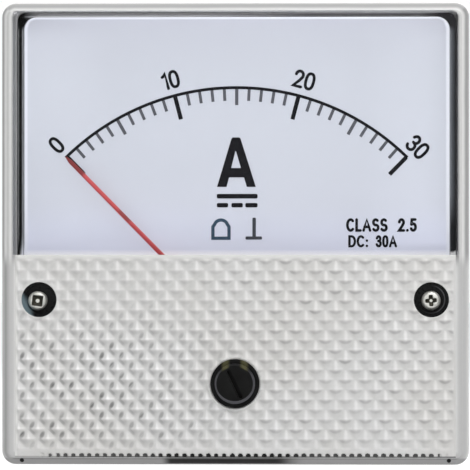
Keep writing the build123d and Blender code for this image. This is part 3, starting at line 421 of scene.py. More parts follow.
def field_material():
    """Silver-white lower front, with painted light and shade on every pyramid: its faces lighter or darker by their
    lean, painted highlights along its ridges, painted shade at its foot, and its own small differences.
    """
    m = Mat("cover_field")
    x, y, z = m.xyz()
    patch = m.noise(0.05, 2.0, 0.5)
    mid = m.noise(0.45, 3.0, 0.6)
    fine = m.noise(5.0, 3.0, 0.6)
    col = m.mix(m.ramp(patch, 0.35, 0.65), (0.448, 0.443, 0.434), (0.472, 0.472, 0.472))
    col = m.mix(m.ramp(mid, 0.45, 0.75, 0.0, 0.35), col, (0.39, 0.392, 0.38))
    col = m.mix(m.ramp(fine, 0.5, 0.8, 0.0, 0.25), col, (0.35, 0.35, 0.34))
    # place in a pyramid, in cells: u and v run across its sides, h is level and w is upright
    bend = m.noise(0.32, 2.0, 0.5)
    lx = m.math("DIVIDE", m.math("SUBTRACT", x, LAT_X), CELL)
    lz = m.math("DIVIDE", m.math("SUBTRACT", z, LAT_Z), CELL)
    lx = m.math("ADD", lx, m.math("MULTIPLY_ADD", bend, 0.10, -0.05))
    p, q = m.math("SUBTRACT", lx, lz), m.math("ADD", lx, lz)
    u, v = m.math("WRAP", p, 0.5, -0.5), m.math("WRAP", q, 0.5, -0.5)
    h = m.math("MULTIPLY", m.math("ADD", u, v), 0.5)
    w = m.math("MULTIPLY", m.math("SUBTRACT", v, u), 0.5)
    cell = m.t.nodes.new("ShaderNodeCombineXYZ")
    m.put(cell.inputs[0], m.math("SUBTRACT", p, u))
    m.put(cell.inputs[1], m.math("SUBTRACT", q, v))
    white = m.t.nodes.new("ShaderNodeTexWhiteNoise")
    white.noise_dimensions = "2D"
    snap = m.t.nodes.new("ShaderNodeVectorMath")
    snap.operation = "SNAP"
    m.put(snap.inputs[0], cell.outputs[0])
    m.put(snap.inputs[1], (1.0, 1.0, 1.0))
    shift = m.t.nodes.new("ShaderNodeVectorMath")
    shift.operation = "ADD"
    m.put(shift.inputs[0], cell.outputs[0])
    m.put(shift.inputs[1], (0.5, 0.5, 0.5))
    m.put(snap.inputs[0], shift.outputs[0])
    m.put(white.inputs["Vector"], snap.outputs[0])
    own = white.outputs["Value"]
    # painted light and shade by each face's lean, as the light falls: from above on the right, more from the side and
    # stronger towards the lower left
    geo = m.t.nodes.new("ShaderNodeNewGeometry")
    lean = m.t.nodes.new("ShaderNodeSeparateXYZ")
    m.put(lean.inputs[0], geo.outputs["Normal"])
    turn = m.ramp(x, 15.0, 0.0, 0.03, 0.85, smooth=True)
    side = m.math("ADD", m.math("MULTIPLY", lean.outputs[0], m.math("SINE", turn)),
                  m.math("MULTIPLY", lean.outputs[2], m.math("COSINE", turn)))
    left = m.ramp(x, 14.0, -24.0, smooth=True)
    low = m.ramp(z, -9.0, -22.0, 0.12, 1.0, smooth=True)
    deep = m.math("MULTIPLY", left, low)
    k = m.math("ADD", m.ramp(left, 0.0, 1.0, 0.05, 0.03), m.math("MULTIPLY", deep, 0.19))
    face = m.math("MULTIPLY", m.math("MULTIPLY", side, k), m.ramp(own, 0.0, 1.0, 0.8, 1.2))

    def near(value, at, far, close):
        return m.ramp(m.math("ABSOLUTE", m.math("SUBTRACT", value, at)), far, close, smooth=True)

    def spot(h0, w0, rh, rw):
        dh, dw = m.math("SUBTRACT", h, h0), m.math("SUBTRACT", w, w0)
        a = m.math("MULTIPLY_ADD", dh, 0.90 / rh, m.math("MULTIPLY", dw, -0.44 / rh))
        b = m.math("MULTIPLY_ADD", dh, 0.44 / rw, m.math("MULTIPLY", dw, 0.90 / rw))
        return m.ramp(m.math("ADD", m.math("MULTIPLY", a, a), m.math("MULTIPLY", b, b)), 2.6, 0.0, smooth=True)

    # painted shade: a dark dab over each rising valley, seen from both pyramids, and a softer one along the falling
    # valley
    foot = m.math("MAXIMUM", spot(-0.27, 0.21, 0.085, 0.165), spot(0.23, -0.29, 0.085, 0.165))
    foot = m.math("MULTIPLY", foot, m.math("MULTIPLY", m.math("MULTIPLY_ADD", deep, 0.45, 0.03), m.ramp(own, 0.0, 1.0, 0.72, 1.15)))
    flank_shade = m.math("MULTIPLY", near(v, -0.40, 0.18, 0.04), near(u, -0.15, 0.42, 0.12))
    foot = m.math("ADD", foot, m.math("MULTIPLY", flank_shade, m.math("MULTIPLY", deep, 0.24)))
    # the painted highlight streak over the apex is widest at its foot
    taper = m.math("MULTIPLY_ADD", m.math("MAXIMUM", w, 0.0), m.math("MULTIPLY_ADD", deep, 0.30, 0.06), m.math("ABSOLUTE", m.math("SUBTRACT", h, 0.02)))
    crest = m.math("MULTIPLY", near(taper, 0.0, 0.16, 0.03), m.ramp(w, -0.04, 0.06))
    crest = m.math("MULTIPLY", crest, m.math("MULTIPLY_ADD", deep, 0.11, 0.13))
    # painted highlight: a thin level line just above the apex
    level = m.math("MULTIPLY", near(w, 0.05, 0.08, 0.02), near(h, 0.0, 0.45, 0.30))
    level = m.math("MULTIPLY", level, m.math("MULTIPLY_ADD", deep, 0.05, 0.05))
    # painted shade: a crescent below the apex, stronger on the right than on the left
    reach = m.math("SUBTRACT", w, 0.20)
    round_ = m.math("SQRT", m.math("ADD", m.math("MULTIPLY", h, h), m.math("MULTIPLY", reach, reach)))
    smile_shade = m.math("MULTIPLY", near(round_, 0.33, 0.11, 0.03), m.ramp(w, 0.03, -0.05))
    smile_shade = m.math("MULTIPLY", smile_shade, m.math("MULTIPLY", m.ramp(left, 0.0, 1.0, 0.17, 0.06), m.ramp(own, 0.0, 1.0, 1.3, 0.7)))
    shading_marks = m.math("SUBTRACT", m.math("ADD", crest, level), m.math("ADD", foot, smile_shade))
    inside = m.math("MULTIPLY", m.math("MULTIPLY", m.ramp(z, -36.95, -36.8), m.ramp(z, -4.2, -4.4)),
                    m.ramp(m.math("ABSOLUTE", x), 37.4, 37.25))
    calm = m.math("MULTIPLY_ADD", m.math("SUBTRACT", left, deep), -0.15, 1.0)
    shading_marks = m.math("MULTIPLY", m.math("MULTIPLY", shading_marks, calm), m.ramp(m.noise(0.22, 2.0, 0.6), 0.35, 0.65, 0.65, 1.35))
    inside = m.math("MULTIPLY", inside, m.ramp(z, -36.6, -34.2, 0.40, 1.0))
    f = m.math("ADD", 1.0, m.math("MULTIPLY", m.math("ADD", face, shading_marks), inside))
    f = m.math("MAXIMUM", f, 0.15)
    shade = m.t.nodes.new("ShaderNodeVectorMath")
    shade.operation = "SCALE"
    m.put(shade.inputs[0], col)
    m.put(shade.inputs["Scale"], f)
    # painted light: the field's left edge is lighter
    edge = m.math("MULTIPLY", m.ramp(x, -37.15, -37.4), m.ramp(z, -5.0, -7.0))
    col = m.mix(edge, shade.outputs[0], (0.54, 0.54, 0.53))
    # painted highlight: a pale band along the field's top border
    lit_border = m.ramp(z, -4.60, -4.05, smooth=True)
    # painted shade: the strip under the notches, darkest in the middle, paler towards the ends and pale at the far left
    bottom_shade_col = m.mix(m.math("MULTIPLY", m.ramp(x, -13.0, -10.5), m.ramp(x, 11.0, 7.0)), (0.095, 0.095, 0.095), (0.046, 0.046, 0.046))
    col = m.mix(lit_border, col, (0.50, 0.50, 0.49))
    col = m.mix(m.ramp(z, -37.92, -38.08), col, m.mix(m.ramp(x, -27.0, -33.0), bottom_shade_col, (0.28, 0.28, 0.275)))
    s = m.shader(Base_Color=col, Roughness=m.ramp(mid, 0.3, 0.7, 0.40, 0.52), Specular_IOR_Level=0.3,
                 Normal=m.bump(fine, 0.2, 0.02))
    return m.finish(s)


def dial_material():
    """Satin paint, bluish white, a shade more violet towards the top and bottom, with painted light and shade: lighter
    towards the bottom and towards both ends of the scale, a painted highlight line along its edge and a painted shade
    line on its left edge.
    """
    m = Mat("dial_paint")
    x, y, z = m.xyz()
    u = edge_distance(m, 36.85, -22.5, 37.55, 2.2)
    cloud = m.noise(0.06, 3.0, 0.5)
    fine = m.noise(9.0, 2.0, 0.5)
    # painted light on the blue-white: lighter towards the bottom, darker towards the top
    zz = m.math("ADD", z, m.math("MULTIPLY_ADD", cloud, 3.0, -1.5))
    col = m.blend(m.ramp(zz, -4.0, 38.0), [
        (0.0, (0.665, 0.685, 0.810)), (0.10, (0.600, 0.626, 0.728)), (0.22, (0.548, 0.572, 0.640)),
        (0.35, (0.522, 0.547, 0.606)), (0.75, (0.506, 0.530, 0.584)), (0.93, (0.494, 0.514, 0.572)),
        (1.0, (0.482, 0.497, 0.562)),
    ])
    col = m.mix(m.ramp(fine, 0.45, 0.8, 0.0, 0.12), col, (0.46, 0.485, 0.545))
    # painted light: a pale band at the bottom, just above the field
    col = m.mix(m.ramp(z, -2.7, -3.6), col, (0.90, 0.90, 0.945))
    # painted light: the colour is a little lighter towards both ends of the scale, against the shade near the dial's
    # sides
    painted_light_gain = m.math("MULTIPLY", m.ramp(x, -22.0, -36.0, 0.0, 0.16), m.math("MULTIPLY", m.ramp(z, 36.8, 33.5), m.ramp(z, 4.0, 24.0, 0.45, 1.0)))
    painted_light_gain = m.math("ADD", painted_light_gain, m.math("MULTIPLY", m.ramp(x, 22.0, 35.0, 0.0, 0.175), m.ramp(z, 37.5, 33.5, 0.4, 1.0)))
    painted_light_gain = m.math("MULTIPLY", painted_light_gain, m.ramp(z, -2.4, -1.4))
    lift = m.t.nodes.new("ShaderNodeVectorMath")
    lift.operation = "SCALE"
    m.put(lift.inputs[0], col)
    m.put(lift.inputs["Scale"], m.math("ADD", painted_light_gain, 1.0))
    col = lift.outputs[0]
    # painted highlight: a whiter line along the dial's edge; painted shade: a darker line on its left edge
    upper = m.ramp(z, 36.0, 36.8)
    line = m.math("MULTIPLY", m.ramp(m.math("MULTIPLY_ADD", upper, 0.26, u), 0.75, 0.45), m.ramp(z, -3.0, 3.0, 0.55, 1.0))
    col = m.mix(line, col, m.mix(m.ramp(x, -20.0, 20.0), (0.75, 0.77, 0.84), (0.80, 0.83, 0.89)))
    col = m.mix(m.math("MULTIPLY", m.ramp(u, 0.20, 0.08), m.math("MULTIPLY", m.ramp(x, -36.0, -36.5), m.ramp(z, -3.0, -2.0))), col, (0.44, 0.45, 0.50))
    s = m.shader(Base_Color=col, Roughness=m.ramp(fine, 0.3, 0.7, 0.42, 0.55), Specular_IOR_Level=0.25,
                 Normal=m.bump(fine, 0.08, 0.01))
    return m.finish(s)


def case_material():
    """Black moulding. The wall's front edge next to the dial has painted highlight and shade: grey, near-black and pale
    bands across it, and along the top front edge.
    """
    m = Mat("case_black")
    x, y, z = m.xyz()
    broad = m.noise(0.15, 3.0, 0.5)
    grain = m.noise(6.0, 3.0, 0.6)
    col = m.mix(m.ramp(broad, 0.3, 0.7), (0.012, 0.012, 0.013), (0.022, 0.022, 0.024))
    col = m.mix(m.ramp(grain, 0.5, 0.8, 0.0, 0.5), col, (0.04, 0.04, 0.042))
    # painted highlight and shade across the wall's front edge, with its own greys on the left and on the right
    u = edge_distance(m, 37.9, -37.75, 38.25, 1.3)
    front = m.ramp(y, -5.50, -5.58)
    right = m.math("GREATER_THAN", x, 0.0)
    out = m.ramp(z, 0.5, -3.6)
    ul = m.math("ADD", u, m.math("MULTIPLY", m.math("MULTIPLY", out, out), 0.42))
    edge = m.blend(m.ramp(ul, 0.0, 1.1), [
        (0.0, (0.15, 0.15, 0.152)), (0.11, (0.11, 0.11, 0.112)), (0.22, (0.018, 0.018, 0.019)), (0.32, (0.0005, 0.0005, 0.0005)),
        (0.52, (0.001, 0.001, 0.001)), (0.62, (0.055, 0.056, 0.06)), (0.73, (0.17, 0.175, 0.185)), (0.85, (0.32, 0.33, 0.35)),
        (0.95, (0.42, 0.43, 0.46)), (1.0, (0.55, 0.57, 0.63))])
    edge_r = m.blend(m.ramp(u, 0.0, 1.1), [
        (0.0, (0.020, 0.020, 0.021)), (0.09, (0.024, 0.025, 0.026)), (0.18, (0.036, 0.038, 0.041)), (0.34, (0.056, 0.060, 0.066)),
        (0.50, (0.076, 0.083, 0.092)), (0.66, (0.11, 0.12, 0.13)), (0.80, (0.19, 0.20, 0.22)), (0.90, (0.40, 0.41, 0.44)),
        (1.0, (0.52, 0.53, 0.57))])
    stop = m.ramp(m.math("MULTIPLY_ADD", m.math("POWER", m.math("ABSOLUTE", m.math("SUBTRACT", x, 37.3)), 2.0), -0.8, z),
                  -2.95, -3.35)
    edge_r = m.mix(m.math("MULTIPLY", m.ramp(z, 6.5, 1.5), m.ramp(u, 1.05, 0.85, 0.0, 0.86)), edge_r, (0.004, 0.004, 0.004))
    edge_r = m.mix(stop, edge_r, (0.62, 0.62, 0.62))
    edge = m.mix(right, edge, edge_r)
    upright = m.math("MULTIPLY", front, m.math("MULTIPLY", m.ramp(z, 36.0, 35.0), m.ramp(m.math("ABSOLUTE", x), 36.0, 36.8)))
    corner = m.math("MULTIPLY", front, m.math("MULTIPLY", m.ramp(z, 35.0, 35.6), m.ramp(x, -32.0, -34.0)))
    col = m.mix(corner, col, (0.0015, 0.0015, 0.0015))
    col = m.mix(upright, col, edge)
    # painted highlight and shade along the top front edge
    along = m.ramp(m.math("ABSOLUTE", m.math("ADD", x, 1.0)), 36.0, 33.0)
    top = m.math("MULTIPLY", m.ramp(z, 37.3, 37.6), along)
    across = m.ramp(x, -6.0, 12.0)
    over = m.mix(across, (0.160, 0.160, 0.164), m.mix(m.ramp(z, 38.14, 38.0), (0.15, 0.15, 0.153), (0.064, 0.064, 0.067)))
    over = m.mix(m.math("MULTIPLY", m.ramp(z, 37.95, 37.88), m.ramp(x, 12.0, -6.0)), over, (0.135, 0.137, 0.143))
    late = m.math("MULTIPLY_ADD", across, 0.08, z)
    over = m.mix(m.ramp(late, 37.82, 37.72), over, m.mix(across, (0.56, 0.57, 0.59), (0.26, 0.27, 0.29)))
    col = m.mix(m.math("MULTIPLY", front, top), col, over)
    s = m.shader(Base_Color=col, Roughness=m.ramp(grain, 0.3, 0.7, 0.34, 0.48), Specular_IOR_Level=m.ramp(front, 0.0, 1.0, 0.30, 0.02),
                 Normal=m.bump(grain, 0.25, 0.02))
    return m.finish(s)


def pointer_material():
    m = Mat("pointer_paint")
    x, y, z = m.xyz()
    zz = m.math("ADD", z, 16.7)
    # along the blade and across it, at rest
    along = m.math("MULTIPLY", m.math("SUBTRACT", zz, x), sqrt(0.5))
    across = m.math("MULTIPLY", m.math("ADD", zz, x), sqrt(0.5))
    chip = m.noise(1.2, 3.0, 0.6)
    col = m.mix(m.ramp(chip, 0.35, 0.7), (0.37, 0.038, 0.043), (0.30, 0.030, 0.036))
    col = m.mix(m.ramp(m.math("ABSOLUTE", across), 0.14, 0.36), col, (0.52, 0.085, 0.088))

    # painted shade: darker patches on one side of the blade, at three places along it
    def dark(at, half, side, much, colour):
        w = m.math("MULTIPLY", m.ramp(m.math("ABSOLUTE", m.math("SUBTRACT", along, at)), half, half - 0.5),
                   m.ramp(m.math("MULTIPLY", across, side), -0.02, 0.10))
        return m.mix(m.math("MULTIPLY", w, much), col, colour)

    col = dark(30.7, 1.5, -1.0, 0.5, (0.13, 0.016, 0.016))
    col = dark(27.7, 1.6, 1.0, 0.6, (0.12, 0.03, 0.03))
    col = dark(40.4, 2.9, 1.0, 0.75, (0.09, 0.010, 0.010))
    s = m.shader(Base_Color=col, Roughness=m.ramp(chip, 0.3, 0.7, 0.35, 0.5), Specular_IOR_Level=0.3,
                 Normal=m.bump(chip, 0.1, 0.01))
    return m.finish(s)


def knob_material():
    m = Mat("knob_black")
    x, y, z = m.xyz()
    zz = m.math("ADD", z, 25.6)
    r = m.math("SQRT", m.math("ADD", m.math("MULTIPLY", x, x), m.math("MULTIPLY", zz, zz)))
    grain = m.noise(4.0, 3.0, 0.6)
    broad = m.noise(0.4, 2.0, 0.5)
    col = m.mix(m.ramp(broad, 0.3, 0.7), (0.0040, 0.0040, 0.0040), (0.0070, 0.0072, 0.0070))
    # painted highlight: a grey ring on the edge of the head, stronger towards the bottom, and two painted glints near
    # its top
    foot = m.ramp(zz, -1.2, -2.8)
    edge = m.math("MULTIPLY", m.ramp(m.math("MULTIPLY_ADD", foot, 0.16, r), 3.08, 3.16), m.ramp(r, 3.5, 3.42))
    seen = m.math("MULTIPLY_ADD", foot, 0.35, m.ramp(zz, 2.5, 1.2, 0.12, 0.85))
    col = m.mix(m.math("MULTIPLY", edge, seen), col, (0.058, 0.058, 0.064))
    ax = m.math("ABSOLUTE", x)
    glint = m.math("MULTIPLY", m.math("MULTIPLY", m.ramp(ax, 0.8, 1.3), m.ramp(ax, 2.4, 1.9)),
                   m.math("MULTIPLY", m.ramp(zz, 1.9, 2.5), m.ramp(r, 2.85, 3.1)))
    col = m.mix(m.math("MULTIPLY", glint, 0.8), col, (0.075, 0.072, 0.035))
    s = m.shader(Base_Color=col, Roughness=m.ramp(grain, 0.3, 0.7, 0.34, 0.46), Specular_IOR_Level=0.07,
                 Normal=m.bump(grain, 0.15, 0.015))
    return m.finish(s)


def ink_material(name, colour):
    m = Mat(name)
    thin = m.noise(2.2, 3.0, 0.6)
    col = m.mix(m.ramp(thin, 0.45, 0.8, 0.0, 0.5), colour, scale_colour([c + 0.004 for c in colour], 1.6))
    s = m.shader(Base_Color=col, Roughness=m.ramp(thin, 0.3, 0.7, 0.55, 0.7), Specular_IOR_Level=0.1)
    return m.finish(s)


def well_material():
    """The black wells, with painted light: a thin paler ring in the right one, and a painted blue-grey sheen on the
    left of the left one.
    """
    m = Mat("well_black")
    x, y, z = m.xyz()
    dx = m.math("SUBTRACT", m.math("ABSOLUTE", x), 33.55)
    dz = m.math("ADD", z, 11.25)
    r = m.math("SQRT", m.math("ADD", m.math("MULTIPLY", dx, dx), m.math("MULTIPLY", dz, dz)))
    grain = m.noise(2.5, 3.0, 0.6)
    col = m.mix(m.ramp(grain, 0.4, 0.75), (0.004, 0.004, 0.004), (0.011, 0.012, 0.0125))
    # painted highlight: the pale ring in the right well, then the blue-grey sheen in the left one
    ring = m.ramp(m.math("ABSOLUTE", m.math("SUBTRACT", r, 2.36)), 0.15, 0.05)
    ring = m.math("MULTIPLY", m.math("MULTIPLY", ring, m.ramp(x, 20.0, 30.0)),
                  m.ramp(m.math("MULTIPLY_ADD", dz, -0.5, dx), -1.0, 1.0))
    col = m.mix(m.math("MULTIPLY", ring, 0.9), col, (0.085, 0.086, 0.09))
    # left of the left well: its dx grows to the left
    pale = m.math("MULTIPLY", m.ramp(m.math("MULTIPLY_ADD", dz, -0.45, dx), 2.0, 2.9, smooth=True), m.ramp(x, -20.0, -30.0))
    col = m.mix(m.math("MULTIPLY", pale, 0.9), col, (0.13, 0.175, 0.195))
    s = m.shader(Base_Color=col, Roughness=m.ramp(grain, 0.3, 0.7, 0.24, 0.36), Specular_IOR_Level=0.14,
                 Normal=m.bump(grain, 0.2, 0.03))
    return m.finish(s)


def pit_material():
    """Deep small pits, painted near-black as their shade, paler towards both ends of the bottom row."""
    m = Mat("cover_pit")
    x, y, z = m.xyz()
    grain = m.noise(3.0, 3.0, 0.6)
    away = m.ramp(m.math("ABSOLUTE", m.math("ADD", x, 1.0)), 10.0, 15.0)
    pale = m.math("MULTIPLY", m.math("MULTIPLY", away, m.ramp(m.math("ABSOLUTE", x), 36.1, 35.9)), m.ramp(z, -36.0, -37.0))
    col = m.mix(m.ramp(grain, 0.3, 0.7), (0.009, 0.009, 0.009), (0.016, 0.016, 0.016))
    col = m.mix(pale, col, m.mix(m.ramp(x, -5.0, 5.0), (0.085, 0.085, 0.085), (0.075, 0.075, 0.075)))
    s = m.shader(Base_Color=col, Roughness=m.ramp(grain, 0.3, 0.7, 0.5, 0.7), Specular_IOR_Level=0.2)
    return m.finish(s)


M = {
    "window": clear("cover_window", milk=0.0015, gloss=0.20),
    "rim": rim_material(),
    "skirt": skirt_material(),
    "wall": wall_material(),
    "field": field_material(),
    "well": well_material(),
    "paint_back": stuff("cover_paint_back", (0.55, 0.55, 0.54), 0.6, vary=0.08),
    "pit": pit_material(),
    "dial": dial_material(),
    "case": case_material(),
    "pointer": pointer_material(),
    "knob": knob_material(),
    "ink": ink_material("print_black", (0.004, 0.004, 0.006)),
    "ink_grey": ink_material("print_grey", (0.045, 0.048, 0.06)),
    "ink_tick": ink_material("print_tick", (0.080, 0.083, 0.096)),
    "ink_slate": ink_material("print_slate", (0.035, 0.062, 0.095)),
    "zinc": stuff("zinc_plate", (0.66, 0.66, 0.62), 0.30, 1.0, vary=0.08, spots=0.9, bump=0.3, grain=7.0),
    "zinc_head": stuff("zinc_plate_head", (0.80, 0.80, 0.75), 0.48, 0.75, vary=0.05, spots=0.9, bump=0.1, grain=5.0),
    # painted shade: the screw heads' cross recess is a dark copy of the plating
    "recess": stuff("screw_recess_shade", (0.045, 0.042, 0.032), 0.5, 0.3, vary=0.3, spots=1.5, grain=5.0, specular=0.2),
    "steel": stuff("steel_bright", (0.58, 0.58, 0.59), 0.22, 1.0, vary=0.06, spots=0.8, bump=0.15, grain=9.0),
    "spring_steel": stuff("steel_spring", (0.30, 0.30, 0.32), 0.3, 1.0, vary=0.12, grain=8.0),
    "iron": stuff("iron_soft", (0.36, 0.36, 0.38), 0.42, 1.0, vary=0.12, spots=0.6, bump=0.3, grain=5.0),
    "magnet": stuff("magnet_cast", (0.30, 0.29, 0.28), 0.6, 0.7, vary=0.2, spots=0.7, bump=0.6, depth=0.05, grain=2.5),
    "aluminium": stuff("aluminium_sheet", (0.74, 0.74, 0.76), 0.34, 1.0, vary=0.06, bump=0.25, grain=5.0,
                       stretch=(0.15, 1.0, 2.0)),
    "brass": stuff("brass_machined", (0.72, 0.50, 0.20), 0.30, 1.0, vary=0.10, spots=0.5, bump=0.2, grain=6.0,
                   stretch=(2.0, 2.0, 0.25)),
    "terminal": stuff("brass_plated", (0.74, 0.60, 0.34), 0.27, 1.0, vary=0.12, spots=0.45, bump=0.25, grain=6.0),
    "copper": stuff("copper_enamel", (0.62, 0.24, 0.10), 0.3, 0.9, vary=0.18, grain=9.0, bump=0.6, depth=0.04,
                    stretch=(0.1, 6.0, 0.1), coat=0.5),
    "bronze": stuff("bronze_strip", (0.62, 0.38, 0.16), 0.28, 1.0, vary=0.1, grain=8.0),
    "shunt": stuff("shunt_strip", (0.52, 0.36, 0.26), 0.38, 1.0, vary=0.15, spots=0.3, bump=0.3, grain=5.0,
                   stretch=(0.2, 1.0, 2.0)),
    "jewel": stuff("jewel_red", (0.50, 0.03, 0.10), 0.08, 0.0, vary=0.15, coat=1.0),
    "resistor": stuff("resistor_lacquer", (0.22, 0.12, 0.06), 0.35, 0.0, vary=0.2, bump=0.4, coat=0.4),
    "wire_red": stuff("wire_sleeve_red", (0.42, 0.02, 0.02), 0.45, 0.0, vary=0.15),
    "wire_black": stuff("wire_sleeve_black", (0.02, 0.02, 0.02), 0.45, 0.0, vary=0.3),
}
CREAM = M["dial"]

by_slot = {
    "black_moulding": "case", "black_knob": "knob", "dial_white": "dial", "pointer_red": "pointer",
    "zinc_steel": "zinc", "bright_steel": "steel", "spring_steel": "spring_steel", "soft_iron": "iron",
    "magnet_alloy": "magnet", "aluminium_parts": "aluminium", "brass_parts": "brass", "terminal_brass": "terminal",
    "copper_wire": "copper", "spring_bronze": "bronze", "shunt_alloy": "shunt", "jewel_stone": "jewel",
    "resistor_body": "resistor", "wire_red": "wire_red", "wire_black": "wire_black", "clear_cover": "rim",
}
for sub in frame["record"]["subparts"]:
    o = nodes[sub["node"]]
    o.data.materials.clear()
    o.data.materials.append(M[by_slot[sub["material_slot"]]])
nodes["pointer"].visible_shadow = False   # so thin that its shadow doesn't show on the dial

# ------------------------------------------------------------------ the front cover

WELL_X, WELL_Z, WELL_R = 33.55, -11.25, 3.0
ADJ_Z, SEAT_R = -25.6, 4.35
FIELD_X, FIELD_TOP, FIELD_BOTTOM = 37.7, -3.6, -38.22
HALF = CELL / sqrt(2)
HOLES = [(-WELL_X, WELL_Z, WELL_R), (WELL_X, WELL_Z, WELL_R), (0.0, ADJ_Z, SEAT_R)]
W, R, S, I, F, K, B, P = range(8)   # the cover's material slots
cover_mats = [M[k] for k in ("window", "rim", "skirt", "wall", "field", "well", "paint_back", "pit")]


def hashed(i, j):
    n = (i * 374761393 + j * 668265263) & 0xFFFFFFFF
    n = ((n ^ (n >> 13)) * 1274126177) & 0xFFFFFFFF
    return ((n ^ (n >> 16)) & 0xFFFF) / 65535.0


def smooth_min(a, b, k):
    h = max(k - abs(a - b), 0.0) / k
    return min(a, b) - h * h * k / 4


def step(x, a, b):
    t = min(1.0, max(0.0, (x - a) / (b - a)))
    return t * t * (3 - 2 * t)


def relief(x, z):
    """Height of the field over its base at a place, in millimetres."""
    u = ((x - LAT_X) + (z - LAT_Z)) / sqrt(2) / HALF + 0.5
    v = ((x - LAT_X) - (z - LAT_Z)) / sqrt(2) / HALF + 0.5
    iu, iv = int(u // 1), int(v // 1)
    a, b = 2 * abs(u - iu - 0.5), 2 * abs(v - iv - 0.5)
    rho = (a ** 5 + b ** 5) ** (1 / 5)
    q = max(0.0, (0.97 - rho) / 0.97)
    p = smooth_min(q ** 1.35, 0.88, 0.12)
    h = 0.10 + (0.60 + 0.10 * (hashed(iu, iv) - 0.5)) * p
    plain = 0.40
    edge = max(step(z, -4.42, -4.24), step(-z, 36.72, 36.90))
    h += (plain - h) * edge
    h += (0.16 - h) * step(abs(x), 37.22, 37.40)
    for cx, cz, r in HOLES:
        d = hypot(x - cx, z - cz) - r
        if d < 1.0:
            h += (0.44 - h) * (1 - step(d, 0.22, 0.62))
    return h


cover = Build()
# outside: back edge, side, bevel
profile = [(0.15, 0.0), (0.0, -0.15), (0.0, -12.80), (0.04, -12.95), (0.15, -13.08), (1.12, -13.93), (1.2, -13.985),
           (1.26, -14.0)]
CUT = FIELD_TOP
rings = []
for d, y in profile:
    rings.append(cover.ring(rounded(-40 + d, 40 - d, -39.5 + d, 39.5 - d, 2.4 - d, cut=CUT), y))
n_ring = len(rings[0])
bottom_edge = max(
    range(n_ring),
    key=lambda i: abs(cover.v[rings[4][i]][0] - cover.v[rings[4][(i + 1) % n_ring]][0])
    * (cover.v[rings[4][i]][2] < -30),
)
for k in range(len(rings) - 1):
    mat = S if k < 2 else R
    cover.band(rings[k], rings[k + 1], mat, True, skip=(bottom_edge,) if k == 4 else ())
# the bottom bevel has two small dimples
a, b = rings[4][bottom_edge], rings[4][(bottom_edge + 1) % n_ring]
c, d = rings[5][(bottom_edge + 1) % n_ring], rings[5][bottom_edge]
z_lo, y_lo, z_hi, y_hi = cover.v[a][2], cover.v[a][1], cover.v[d][2], cover.v[d][1]


def on_bevel(z):
    return y_lo + (y_hi - y_lo) * (z - z_lo) / (z_hi - z_lo)


loops = [[(cover.v[i][0], cover.v[i][2]) for i in (a, b, c, d)]]
dimples = [circle(s * 36.55, -38.76, 0.37, 24) for s in (-1, 1)]
loops += dimples
ids = [[cover.vert(x, on_bevel(z), z) for x, z in l] for l in loops]
flat = [i for l in ids for i in l]
for t in tessellate_polygon([[Vector((x, z, 0)) for x, z in l] for l in loops]):
    cover.face([flat[k] for k in t], R)
for l, pts in zip(ids[1:], dimples):
    low = cover.ring(pts, -12.6)
    cover.band(l, low, P, True)
    cover.fill([pts], -12.6, P)

# the flat rim on the front, round the window and the field
inner = [(-FIELD_X, FIELD_BOTTOM), (FIELD_X, FIELD_BOTTOM), (FIELD_X, FIELD_TOP), (38.1, FIELD_TOP)]
inner += [(38.1 - 1.0 + cos(radians(t)), 38.2 - 1.0 + sin(radians(t))) for t in range(0, 91, 15)]
inner += [(-38.1 + 0.5 + 0.5 * cos(radians(t)), 38.2 - 0.5 + 0.5 * sin(radians(t))) for t in range(90, 181, 15)]
inner += [(-38.1, FIELD_TOP), (-FIELD_X, FIELD_TOP)]
outer = [(cover.v[i][0], cover.v[i][2]) for i in rings[-1]]
cover.fill([outer, inner], -14.0, R)
# the window's front and back
pane = [p for p in inner if p[1] >= FIELD_TOP - 1e-6 and abs(p[0]) > FIELD_X + 0.01]
cover.fill([pane], -14.0, W)
cover.band(cover.ring(pane, -14.0), cover.ring(pane, -12.0), I, skip=(len(pane) - 1,))
cavity = rounded(-38.1, 38.1, -37.9, 38.4, 1.4, cut=CUT)
cover.fill([[p for p in cavity if p[1] >= CUT - 1e-6]], -12.0, W)
cover.fill([[(-38.7, CUT - 0.3), (38.7, CUT - 0.3), (38.7, 38.9), (-38.7, 38.9)], [p for p in cavity if p[1] >= CUT - 1e-6]],
           -11.98, I)
BOSS_R, STEM_R = 4.2, 2.06
bosses = [circle(s * WELL_X, WELL_Z, BOSS_R, 64) for s in (-1, 1)]
stem_hole = circle(0.0, ADJ_Z, STEM_R, 48)
cover.fill([[p for p in cavity if p[1] <= CUT + 1e-6], *bosses, stem_hole], -12.0, B)
for s, loop in zip((-1, 1), bosses):
    cover.band(cover.ring(loop, -12.0), cover.ring(loop, -8.4), B, True)
    drill = circle(s * WELL_X, WELL_Z, 1.2, 32)
    cover.fill([loop, drill], -8.4, B)
    cover.band(cover.ring(drill, -8.4), cover.ring(drill, -10.0), K, True)
cover.band(cover.ring(stem_hole, -12.0), cover.ring(stem_hole, -14.0), B, True)
depths = [-12.0, -9.0, -6.0, -3.0, 0.0]
walls = [cover.ring(cavity, y) for y in depths]


def wall_slot(i):
    j = (i + 1) % len(cavity)
    return I if (cavity[i][1] + cavity[j][1]) / 2 > CUT else B


for k in range(len(walls) - 1):
    cover.band(walls[k], walls[k + 1], pick=wall_slot)
cover.band(rings[0], walls[-1], S)
lip = rounded(-37.92, 37.92, -37.74, 38.22, 1.25, cut=CUT)
cover.fill([cavity, lip], -0.05, P)

# the field of pyramids, cut round the wells and the adjuster
step_mm = CELL / 16


def lattice(lo, hi, origin):
    first = origin + step_mm * round((lo - origin) / step_mm + 0.5)
    out = [lo]
    x = first if first - lo > 0.4 * step_mm else first + step_mm
    while x < hi - 0.4 * step_mm:
        out.append(x)
        x += step_mm
    out.append(hi)
    return out


